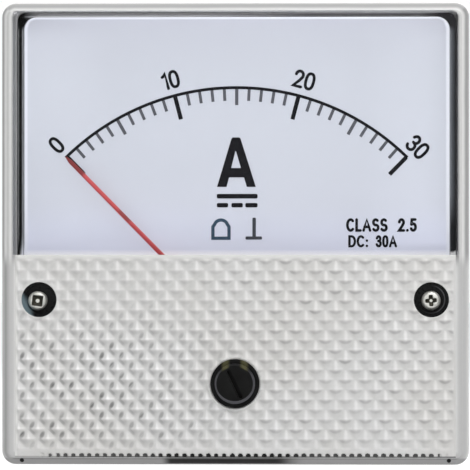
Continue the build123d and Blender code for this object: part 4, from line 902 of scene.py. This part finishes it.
STRIP = -37.18                       # below this the bottom strip has its own mesh
xs = lattice(-FIELD_X, FIELD_X, LAT_X)
zs = lattice(STRIP, FIELD_TOP, LAT_Z)
grid, where = {}, {}
for i, x in enumerate(xs):
    for j, z in enumerate(zs):
        px, pz, inside = x, z, None
        for k, (cx, cz, r) in enumerate(HOLES):
            d = hypot(x - cx, z - cz)
            if d < r:
                inside = k
                break
        where[i, j] = inside
        grid[i, j] = (x, z)
quads = []
snapped = {}
for i in range(len(xs) - 1):
    for j in range(len(zs) - 1):
        q = [(i, j), (i + 1, j), (i + 1, j + 1), (i, j + 1)]
        ins = [where[c] for c in q]
        if all(v is not None for v in ins):
            continue
        quads.append(q)
        for c, v in zip(q, ins):
            if v is not None:
                snapped[c] = v
vid = {}
on_hole = {}
for q in quads:
    for c in q:
        if c in vid:
            continue
        x, z = grid[c]
        if c in snapped:
            cx, cz, r = HOLES[snapped[c]]
            d = max(hypot(x - cx, z - cz), 1e-6)
            x, z = cx + (x - cx) * r / d, cz + (z - cz) * r / d
            on_hole[c] = snapped[c]
        round_off = 0.0
        if c[1] == len(zs) - 1:
            round_off = 0.10
        vid[c] = cover.vert(x, -14.0 - relief(x, z) + round_off, z)
edges = {}
for q in quads:
    cover.face([vid[c] for c in q], F, True)
    for a, b in zip(q, q[1:] + q[:1]):
        edges.setdefault(frozenset((a, b)), 0)
        edges[frozenset((a, b))] += 1
# down into the wells and the adjuster's seat
for k, (cx, cz, r) in enumerate(HOLES):
    rim = [tuple(e) for e, n in edges.items() if n == 1 and all(on_hole.get(c) == k for c in e)]
    deep = -14.0 if k == 2 else -12.9
    low = {}
    for a, b in rim:
        for c in (a, b):
            if c not in low:
                x, y, z = cover.v[vid[c]]
                low[c] = cover.vert(x, deep, z)
        cover.face((vid[a], vid[b], low[b], low[a]), F if k == 2 else K, True)
    order = sorted(low, key=lambda c: atan2(cover.v[low[c]][2] - cz, cover.v[low[c]][0] - cx))
    outline = [(cover.v[low[c]][0], cover.v[low[c]][2]) for c in order]
    if k == 2:
        cover.fill([outline, stem_hole], deep, F)
    else:
        cover.fill([outline, circle(cx, cz, 2.62, 64)], deep, K)
        a = cover.ring(circle(cx, cz, 2.62, 64), deep)
        b = cover.ring(circle(cx, cz, 2.5, 64), -10.0)
        cover.band(a, b, K, True)
        cover.fill([circle(cx, cz, 2.5, 64), circle(cx, cz, 1.2, 32)], -10.0, K)
# sides and top of the field stand on the front
n_x, n_z = len(xs), len(zs)
edge_ids = [(0, j) for j in range(n_z)] + [(i, n_z - 1) for i in range(1, n_x)] + [(n_x - 1, j) for j in range(n_z - 2, -1, -1)]
low = [cover.vert(cover.v[vid[c]][0], -13.99, cover.v[vid[c]][2]) for c in edge_ids]
for k in range(len(edge_ids) - 1):
    cover.face((vid[edge_ids[k]], vid[edge_ids[k + 1]], low[k + 1], low[k]), F, True)

# the strip under the pyramids ends in a row of small notches
PITCH = 1.3595
NX = 8
n_cells = int(2 * FIELD_X / (PITCH / NX)) + 1
sx = [-FIELD_X + 2 * FIELD_X * i / n_cells for i in range(n_cells + 1)]
sz = [STRIP, -37.35, -37.48, -37.58, -37.66, -37.74, -37.84, -37.94, -38.04, -38.12, -38.17, FIELD_BOTTOM]


def notch(x, z):
    """1 in the middle of a notch, 0 outside it."""
    if not -33.7 < x < 36.3:
        return 0.0
    k = round((x + 33.1) / PITCH)
    dx = (x + 33.1 - k * PITCH) + 0.10 * (hashed(k, 7) - 0.5)
    half = 0.33 + 0.08 * hashed(k, 3)
    tall = 0.345 + 0.06 * hashed(k, 5)
    d = (abs(dx) / half) ** 2.4 + (abs(z + 37.90) / tall) ** 2.4
    fade = step(x, -33.7, -29.0) * step(-x, -36.3, -33.0)
    return (1 - step(d, 0.55, 1.15)) * (0.35 + 0.65 * fade)


strip = {}
for i, x in enumerate(sx):
    for j, z in enumerate(sz):
        h = relief(x, z) if j == 0 else 0.40
        if j == len(sz) - 1:
            h = 0.26
        if j:
            h += (0.16 - h) * step(abs(x), 37.22, 37.40)
        strip[i, j] = cover.vert(x, -14.0 - h + 0.62 * notch(x, z), z)
for i in range(len(sx) - 1):
    for j in range(len(sz) - 1):
        q = (strip[i, j], strip[i + 1, j], strip[i + 1, j + 1], strip[i, j + 1])
        # the notches' deep faces take the pit material, painted near-black as shade
        deep = sum(cover.v[k][1] for k in q) / 4 > -14.12
        cover.face(q, P if deep and abs(sx[i]) < 37.0 else F, True)
last = len(sz) - 1
for i in range(len(sx) - 1):
    a, b = strip[i, last], strip[i + 1, last]
    c = cover.vert(sx[i + 1], -13.98, FIELD_BOTTOM)
    d = cover.vert(sx[i], -13.98, FIELD_BOTTOM)
    cover.face((a, b, c, d), F)
for i in (0, len(sx) - 1):
    for j in range(len(sz) - 1):
        a, b = strip[i, j], strip[i, j + 1]
        c = cover.vert(sx[i], -13.98, sz[j + 1])
        d = cover.vert(sx[i], -13.98, sz[j])
        cover.face((a, b, c, d), F)
shell = cover.make("front_cover_moulding", cover_mats, "meter", ("front_cover",))
shell.visible_shadow = False         # clear plastic: it lets the light through to the dial

# ------------------------------------------------------------------ cover screws


def screw_head(b, cx, cz, turn, front, back, r_head, r_shank, x_shank, z_shank, y_end, arm_w=0.40, arm_r=1.02, heart=0.27):
    """A low pan head with a cross recess, made as one surface round its axis, and a plain shank."""
    radii = [0.10, 0.18, 0.26, 0.34, 0.42, 0.50, 0.58, 0.66, 0.74, 0.82, 0.90, 0.98, 1.06, 1.14, 1.24, 1.34, 1.44,
             1.52, 1.58, 1.62, 1.65]
    radii = [r * r_head / 1.65 for r in radii]
    n = 96
    ca, sa = cos(radians(turn)), sin(radians(turn))

    def recess(x, z):
        u, v = abs(x * ca + z * sa), abs(-x * sa + z * ca)
        lo, hi = min(u, v), max(u, v)
        half = arm_w - 0.10 * hi
        return step(half - lo, -0.03, 0.07) * step(arm_r - hi, 0.0, 0.16), hi

    def depth(x, z, r):
        arm, hi = recess(x, z)
        dome = (back - front) * (1 - sqrt(max(0.0, 1 - (r / r_head) ** 7))) * 0.55
        return front + 0.05 * (r / r_head) ** 2 + dome + 0.55 * arm * (1 - 0.45 * step(hi, 0.3, 0.95))

    centre = b.vert(cx, depth(0, 0, 0), cz)
    prev, r_prev = None, 0.0
    for r in radii:
        ring = []
        for i in range(n):
            a = 2 * pi * i / n
            x, z = r * cos(a), r * sin(a)
            ring.append(b.vert(cx + x, min(depth(x, z, r), back - 0.02), cz + z))
        for i in range(n):
            a = 2 * pi * (i + 0.5) / n
            rm = (r + r_prev) / 2
            arm = recess(rm * cos(a), rm * sin(a))[0]
            slot = 1 if arm > 0.35 and rm > heart else 0
            if prev is None:
                b.face((centre, ring[i], ring[(i + 1) % n]), slot, True)
            else:
                b.face((prev[i], prev[(i + 1) % n], ring[(i + 1) % n], ring[i]), slot, True)
        prev, r_prev = ring, r
    under = b.ring(circle(cx, cz, r_head, n), back)
    b.band(prev, under, 0, True)
    b.fill([circle(cx, cz, r_head, n), circle(x_shank, z_shank, r_shank, 32)], back, 0)
    neck = b.ring(circle(x_shank, z_shank, r_shank, 32), back)
    end = b.ring(circle(x_shank, z_shank, r_shank, 32), y_end)
    b.band(neck, end, 0, True)
    b.fill([circle(x_shank, z_shank, r_shank, 32)], y_end, 0)


heads = Build()
screw_head(heads, -WELL_X - 0.54, WELL_Z - 0.26, -7, -11.2, -10.0, 1.65, 1.0, -WELL_X, WELL_Z, -2.0, 0.98, 0.97, 0.34)
screw_head(heads, WELL_X, WELL_Z - 0.20, 4, -11.2, -10.0, 1.65, 1.0, WELL_X, WELL_Z, -2.0)
heads.make("cover_screw_heads", [M["zinc_head"], M["recess"]], "meter", ("cover_screws",))

# ------------------------------------------------------------------ print on the dial

DIAL_Y = -5.5
PRINT = 0.03
FAINT = 0.012


def ribbon(pts, width, closed=False, round_ends=True):
    """The outline of a line of that width: one loop, or two for a closed line."""
    n = len(pts)
    h = width / 2
    left, right = [], []
    for i, p in enumerate(pts):
        a = pts[i - 1] if (i or closed) else None
        c = pts[(i + 1) % n] if (i < n - 1 or closed) else None
        d1 = (p[0] - a[0], p[1] - a[1]) if a else None
        d2 = (c[0] - p[0], c[1] - p[1]) if c else None
        d1, d2 = d1 or d2, d2 or d1
        l1, l2 = hypot(*d1) or 1e-9, hypot(*d2) or 1e-9
        n1, n2 = (-d1[1] / l1, d1[0] / l1), (-d2[1] / l2, d2[0] / l2)
        nx, nz = n1[0] + n2[0], n1[1] + n2[1]
        k = 2 / max(nx * nx + nz * nz, 0.9)
        left.append((p[0] + nx * k * h, p[1] + nz * k * h))
        right.append((p[0] - nx * k * h, p[1] - nz * k * h))
    if closed:
        return [left, right]
    loop = list(left)
    if round_ends:
        for end, start in ((pts[-1], left[-1]), (pts[0], right[0])):
            a0 = atan2(start[1] - end[1], start[0] - end[0])
            cap = [(end[0] + h * cos(a0 - pi * k / 8), end[1] + h * sin(a0 - pi * k / 8)) for k in range(1, 8)]
            if end is pts[-1]:
                loop += cap + right[::-1]
            else:
                loop += cap
    else:
        loop += right[::-1]
    return [loop]


def arc(cu, cv, ru, rv, a0, a1, n=14):
    return [(cu + ru * cos(radians(a0 + (a1 - a0) * i / n)), cv + rv * sin(radians(a0 + (a1 - a0) * i / n)))
            for i in range(n + 1)]


def oval(w, n=36, power=2.5):
    pts = []
    for i in range(n):
        a = 2 * pi * i / n
        cu, su = cos(a), sin(a)
        pts.append((w / 2 + (w / 2) * abs(cu) ** (2 / power) * (1 if cu > 0 else -1),
                    0.5 + 0.5 * abs(su) ** (2 / power) * (1 if su > 0 else -1)))
    return pts


# strokes of each character: width, then (points, closed), in units of its height
GLYPHS = {
    "0": (0.50, [(oval(0.50), True)]),
    "1": (0.24, [([(0.0, 0.80), (0.10, 0.84), (0.22, 1.0), (0.22, 0.0)], False)]),
    "2": (0.50, [([(0.02, 0.76)] + arc(0.25, 0.74, 0.23, 0.26, 165, -20) + [(0.30, 0.38), (0.0, 0.0), (0.50, 0.0)], False)]),
    "3": (0.50, [([(0.02, 0.80)] + arc(0.24, 0.76, 0.21, 0.24, 160, -80) + [(0.20, 0.53)], False),
                 ([(0.20, 0.53), (0.28, 0.525)] + arc(0.25, 0.26, 0.25, 0.26, 75, -165), False)]),
    "5": (0.50, [([(0.46, 1.0), (0.09, 1.0), (0.04, 0.56)] + arc(0.24, 0.31, 0.25, 0.31, 130, -155), False)]),
    "A": (0.74, [([(0.0, 0.0), (0.37, 1.0), (0.74, 0.0)], False), ([(0.13, 0.33), (0.61, 0.33)], False)]),
    "C": (0.70, [(arc(0.37, 0.5, 0.37, 0.5, 48, 312, 22), False)]),
    "D": (0.66, [([(0.0, 0.0), (0.0, 1.0), (0.26, 1.0)] + arc(0.26, 0.5, 0.38, 0.5, 85, -85, 16) + [(0.26, 0.0)], True)]),
    "L": (0.44, [([(0.0, 1.0), (0.0, 0.0), (0.44, 0.0)], False)]),
    "S": (0.58, [(arc(0.29, 0.745, 0.26, 0.255, 38, 258, 14) + arc(0.29, 0.255, 0.29, 0.255, 74, -148, 14), False)]),
    ":": (0.10, [([(0.05, 0.02), (0.05, 0.04)], False), ([(0.05, 0.56), (0.05, 0.58)], False)]),
    ".": (0.10, [([(0.05, 0.0), (0.05, 0.02)], False)]),
    " ": (0.30, []),
}


def write(b, text, cx, cz, height, stroke, turn=0.0, squeeze=1.0, gap=0.16, mat=0, centre=True):
    """Puts a line of characters with its middle (or its left end) at a place, turned clockwise by turn."""
    inner_h = height - stroke
    total = sum(GLYPHS[c][0] for c in text) * squeeze * inner_h + (len(text) - 1) * (gap * height + stroke)
    u = -total / 2 if centre else 0.0
    ca, sa = cos(radians(-turn)), sin(radians(-turn))
    for c in text:
        w, strokes = GLYPHS[c]
        for k, (pts, closed) in enumerate(strokes):
            line = [(u + p[0] * squeeze * inner_h, (p[1] - 0.5) * inner_h) for p in pts]
            line = [(cx + ca * p[0] - sa * p[1], cz + sa * p[0] + ca * p[1]) for p in line]
            b.prism(ribbon(line, stroke, closed), DIAL_Y, DIAL_Y - PRINT - 0.001 * k, mat)
        u += w * squeeze * inner_h + gap * height + stroke


def dial(px, py):
    return at_depth(px, py, DIAL_Y - PRINT)


SC = (AIM - EYE).length * (708.47 / 700.0) / (cam_data.lens / 36 * 470)   # millimetres on the dial for each pixel
PIV_X, PIV_Z = -0.03, -16.85          # the scale's centre
ARC_R = 243.6 * SC
SPAN = 44.22


def polar(r, deg):
    return PIV_X + r * sin(radians(deg)), PIV_Z + r * cos(radians(deg))


scale_print = Build()
line = [polar(ARC_R, (SPAN + 0.35) * (i / 60 - 1)) for i in range(121)]
scale_print.prism(ribbon(line, 3.0 * SC, round_ends=False), DIAL_Y, DIAL_Y - PRINT)
for i in range(31):
    a = SPAN * (i / 15 - 1) + 0.10
    if i % 10 == 0:
        length, width, mat = 24.5, 4.2, 0
    elif i % 5 == 0:
        length, width, mat = 17.5, 3.3, 1
    else:
        length, width, mat = 13.0, 3.0, 1
    top = ARC_R - 0.4 * SC
    scale_print.prism(
        ribbon([polar(top, a), polar(ARC_R - length * SC, a)], width * SC, round_ends=False),
        DIAL_Y, DIAL_Y - PRINT + 0.004, mat)
scale_print.make("scale_print", [M["ink"], M["ink_tick"]], "meter")

numbers = Build()
for text, px, py, turn in (("0", 56.5, 145.0, -45), ("10", 170.5, 80.0, -14.8), ("20", 304.3, 80.0, 14.8), ("30", 417.6, 147.0, 45)):
    x, z = dial(px, py)
    write(numbers, text, x, z, 18.4 * SC, 3.0 * SC, turn, squeeze=1.0, gap=0.03)
numbers.make("scale_numbers", [M["ink"]], "meter")

unit = Build()
letter = [[(217.0, 186.9), (219.4, 186.9), (226.6, 186.9), (229.1, 177.4), (244.0, 177.4), (246.8, 186.9), (255.8, 186.9),
           (240.6, 138.8), (239.4, 137.4), (232.6, 137.4), (231.4, 138.8)],
          [(231.2, 168.0), (240.9, 168.0), (236.1, 151.6), (235.7, 151.2), (235.3, 151.6)]]
unit.prism([[dial(*p) for p in l] for l in letter], DIAL_Y, DIAL_Y - PRINT)


def slab(b, x0, y0, x1, y1, mat=0):
    r = min(abs(x1 - x0), abs(y1 - y0)) * 0.3
    pts = []
    for cx, cy, a0 in ((x1 - r, y0 + r, 0), (x0 + r, y0 + r, 90), (x0 + r, y1 - r, 180), (x1 - r, y1 - r, 270)):
        for i in range(4):
            a = radians(a0 + 30 * i)
            pts.append((cx + r * cos(a), cy - r * sin(a)))
    b.prism([[dial(*p) for p in pts]], DIAL_Y, DIAL_Y - PRINT, mat)


slab(unit, 216.8, 193.9, 257.6, 198.5)
slab(unit, 216.8, 203.0, 228.1, 207.4)
slab(unit, 231.4, 203.0, 242.8, 207.4)
slab(unit, 245.3, 203.0, 257.6, 207.4)
unit.make("unit_print", [M["ink"]], "meter")

signs = Build()
# moving-coil sign: a horseshoe closed at the bottom
shoe = [(212.9, 238.2), (212.9, 226.6)] + [
    (221.0 + 6.6 * cos(radians(a)), 226.0 - 6.0 * sin(radians(a))) for a in range(165, 14, -15)
] + [(229.0, 226.6), (229.0, 238.2)]
signs.prism(ribbon([dial(*p) for p in shoe], 3.3 * SC, closed=True), DIAL_Y, DIAL_Y - PRINT, 1)
# upright-mounting sign
slab(signs, 252.4, 217.6, 255.9, 237.0, 0)
slab(signs, 245.5, 236.4, 262.0, 239.6, 0)
for text, px, py, h, stroke, sq in (
    ("CLASS", 366.9, 225.0, 13.6, 2.7, 0.80), ("2.5", 407.4, 225.0, 13.6, 2.7, 0.86),
    ("DC:", 358.4, 241.3, 12.2, 2.4, 0.86), ("30A", 386.3, 241.3, 12.2, 2.4, 0.80),
):
    x, z = dial(px, py)
    write(signs, text, x, z, h * SC, stroke * SC, squeeze=sq, gap=0.03, mat=2)
signs.make("dial_signs", [M["ink_grey"], M["ink_slate"], M["ink"]], "meter")

# ------------------------------------------------------------------ studs, terminals and nuts


def thread(b, cx, cz, y0, y1, r, pitch, n=28, mat=0):
    """An outside thread between two depths, running out at both ends, closed by a flat at the far end."""
    root = r - 0.6 * pitch
    steps = int((y1 - y0) / pitch * n)
    crest, trough = [], []
    for k in range(steps + 1):
        a = 2 * pi * k / n
        y = y0 + pitch * k / n
        out = min(r, root + max(0.0, y1 - y) * 0.9, root + max(0.0, y - y0) * 1.6)
        crest.append(b.vert(cx + out * cos(a), y, cz + out * sin(a)))
        low = min(y + pitch / 2, y1)
        trough.append(b.vert(cx + root * cos(a), low, cz + root * sin(a)))
    for k in range(steps):
        b.face((crest[k], crest[k + 1], trough[k + 1], trough[k]), mat, True)
        if k + 1 + n <= steps:
            b.face((trough[k], trough[k + 1], crest[k + 1 + n], crest[k + n]), mat, True)
    # the core closes the ends
    a = b.ring(circle(cx, cz, root + 0.002, n), y0)
    c = b.ring(circle(cx, cz, root + 0.002, n), y1 - 0.02)
    d = b.ring(circle(cx, cz, root - 0.15, n), y1)
    b.band(a, c, mat, True)
    b.band(c, d, mat)
    b.fill([circle(cx, cz, root - 0.15, n)], y1, mat)
    b.fill([circle(cx, cz, root + 0.002, n)], y0, mat)


def plain_rod(b, cx, cz, y0, y1, r, mat=0, n=40):
    b.prism([circle(cx, cz, r, n)], y0, y1, mat)


def hexagon_nut(b, cx, cz, y0, y1, af, hole, turn, mat=0, n=72, bevel_front=True):
    """A nut with rounded-off corners on both faces and a countersunk hole."""
    flat_r = af / 2

    def out(a):
        k = (a - radians(turn) + pi / 6) % (pi / 3) - pi / 6
        return flat_r / cos(k)

    angles = [2 * pi * i / n + radians(turn) for i in range(n)]

    def loop(f):
        return [f(a) for a in angles]

    def at(r, y):
        return [b.vert(cx + rr * cos(a), yy, cz + rr * sin(a)) for a, rr, yy in zip(angles, r, y)]

    corner = loop(out)
    face = [flat_r * 0.955] * n
    drop = [(c - face[0]) * 0.52 for c in corner]
    h_in = [hole] * n
    h_out = [hole + 0.35] * n
    rows = [
        at(h_in, [y0 + 0.35] * n), at(h_out, [y0] * n), at(face, [y0] * n),
        at(corner, [y0 + (d if bevel_front else 0.0) for d in drop]),
        at(corner, [y1 - d for d in drop]), at(face, [y1] * n), at(h_out, [y1] * n), at(h_in, [y1 - 0.35] * n),
    ]
    for k in range(len(rows)):
        b.band(rows[k], rows[(k + 1) % len(rows)], mat, False)


studs = Build()
for sx_ in (-1, 1):
    for sz_ in (-1, 1):
        cx, cz = 32.0 * sx_, 32.0 * sz_
        lo, hi = -4.0, -2.0
        six = [(cx + 2.75 / cos(pi / 6) * cos(pi / 3 * i + pi / 6), cz + 2.75 / cos(pi / 6) * sin(pi / 3 * i + pi / 6)) for i in range(6)]
        studs.prism([six], lo, hi)
        plain_rod(studs, cx, cz, -2.0, 0.0, 1.7)
        plain_rod(studs, cx, cz, 0.0, 1.0, 1.5)
        thread(studs, cx, cz, 1.0, 13.0, 1.5, 0.5)
studs.make("panel_studs_threaded", [M["zinc"]], "meter", ("mounting_studs",))

TX, TZ = 14.0, 8.0
posts = Build()
for s in (-1, 1):
    cx = TX * s
    six = [(cx + 5.0 / cos(pi / 6) * cos(pi / 3 * i), TZ + 5.0 / cos(pi / 6) * sin(pi / 3 * i)) for i in range(6)]
    posts.prism([six], 18.6, 21.0)
    plain_rod(posts, cx, TZ, 21.0, 27.6, 3.0)
    thread(posts, cx, TZ, 27.5, 47.0, 3.0, 1.0, n=36)
posts.make("terminal_posts_threaded", [M["terminal"]], "meter", ("terminal_studs",))

nuts = Build()
for s in (-1, 1):
    hexagon_nut(nuts, TX * s, TZ, 28.2, 31.4, 10.0, 3.02, 7 + 30)
nuts.make("case_nuts_faceted", [M["terminal"]], "meter", ("case_nuts",))
nuts = Build()
for s in (-1, 1):
    hexagon_nut(nuts, TX * s, TZ, 34.2, 38.8, 10.0, 3.02, -18 + 30)
nuts.make("lug_nuts_faceted", [M["terminal"]], "meter", ("lug_nuts",))

# ------------------------------------------------------------------ floor, light and sky


def sheet(name, size_m, z_m, mat):
    me = bpy.data.meshes.new(name)
    h = size_m / 2
    me.from_pydata([(-h, -h, z_m), (h, -h, z_m), (h, h, z_m), (-h, h, z_m)], [], [(0, 1, 2, 3)])
    me.materials.append(mat)
    o = bpy.data.objects.new(name, me)
    bpy.context.scene.collection.objects.link(o)
    return o


fm = Mat("floor_pale")
soft = fm.noise(0.004, 2.0, 0.5)
fx, fy, fz = fm.xyz()
# the sheet glows a little far from the part, so that it stays as pale there as near the lights
away = fm.math("SQRT", fm.math("ADD", fm.math("MULTIPLY", fx, fx), fm.math("MULTIPLY", fy, fy)))
floor_mat = fm.finish(fm.shader(
    Base_Color=fm.mix(fm.ramp(soft, 0.3, 0.7), (0.86, 0.86, 0.86), (0.90, 0.90, 0.90)), Roughness=0.8,
    Specular_IOR_Level=0.2, Emission_Color=(1.0, 1.0, 1.0), Emission_Strength=fm.ramp(away, 400.0, 1100.0, 0.0, 0.22, smooth=True)))
sheet("floor", 6.0, -0.062, floor_mat)

world = bpy.data.worlds.new("studio")
bpy.context.scene.world = world
world.use_nodes = True
wt = world.node_tree
wt.nodes.clear()
w_out = wt.nodes.new("ShaderNodeOutputWorld")
seen = wt.nodes.new("ShaderNodeBackground")
seen.inputs["Color"].default_value = (1, 1, 1, 1)
seen.inputs["Strength"].default_value = 1.0
lit = wt.nodes.new("ShaderNodeBackground")
tc = wt.nodes.new("ShaderNodeTexCoord")
sep = wt.nodes.new("ShaderNodeSeparateXYZ")
wt.links.new(tc.outputs["Generated"], sep.inputs[0])
rng = wt.nodes.new("ShaderNodeMapRange")
rng.inputs["From Min"].default_value = -1.0
rng.inputs["From Max"].default_value = 0.4
rng.inputs["To Min"].default_value = 0.07
rng.inputs["To Max"].default_value = 0.75
wt.links.new(sep.outputs["Y"], rng.inputs["Value"])
top = wt.nodes.new("ShaderNodeMapRange")
top.inputs["From Min"].default_value = -0.2
top.inputs["From Max"].default_value = 1.0
top.inputs["To Min"].default_value = 0.0
top.inputs["To Max"].default_value = 0.45
wt.links.new(sep.outputs["Z"], top.inputs["Value"])
add = wt.nodes.new("ShaderNodeMath")
add.operation = "ADD"
rear = wt.nodes.new("ShaderNodeMapRange")
rear.inputs["From Min"].default_value = 0.35
rear.inputs["From Max"].default_value = 1.0
rear.inputs["To Min"].default_value = 1.0
rear.inputs["To Max"].default_value = 0.4
wt.links.new(sep.outputs["Y"], rear.inputs["Value"])
dim = wt.nodes.new("ShaderNodeMath")
dim.operation = "MULTIPLY"
wt.links.new(rng.outputs[0], dim.inputs[0])
wt.links.new(rear.outputs[0], dim.inputs[1])
wt.links.new(dim.outputs[0], add.inputs[0])
wt.links.new(top.outputs[0], add.inputs[1])
wt.links.new(add.outputs[0], lit.inputs["Strength"])
lit.inputs["Color"].default_value = (1.0, 1.0, 1.0, 1)
path = wt.nodes.new("ShaderNodeLightPath")
pick = wt.nodes.new("ShaderNodeMixShader")
wt.links.new(path.outputs["Is Camera Ray"], pick.inputs[0])
wt.links.new(lit.outputs[0], pick.inputs[1])
wt.links.new(seen.outputs[0], pick.inputs[2])
wt.links.new(pick.outputs[0], w_out.inputs["Surface"])


def softbox(name, where, aim, size, watts, colour=(1, 1, 1)):
    d = bpy.data.lights.new(name, "AREA")
    d.shape = "RECTANGLE"
    d.size, d.size_y = size
    d.energy = watts
    d.color = colour
    o = bpy.data.objects.new(name, d)
    bpy.context.scene.collection.objects.link(o)
    o.location = where
    o.rotation_euler = (Vector(aim) - Vector(where)).to_track_quat("-Z", "Y").to_euler()
    o.visible_camera = False
    return o


softbox("key", (0.13, -0.36, 0.36), (0.0, -0.014, 0.0), (0.22, 0.22), 1.85)
softbox("fill_left", (-0.55, -0.55, 0.10), (0.0, 0.0, 0.0), (0.35, 0.5), 1.0)
softbox("fill_right", (0.70, -0.35, 0.05), (0.0, 0.0, 0.0), (0.3, 0.5), 0.7)
softbox("back", (0.25, 0.75, 0.55), (0.0, 0.02, 0.0), (0.5, 0.5), 3.2)
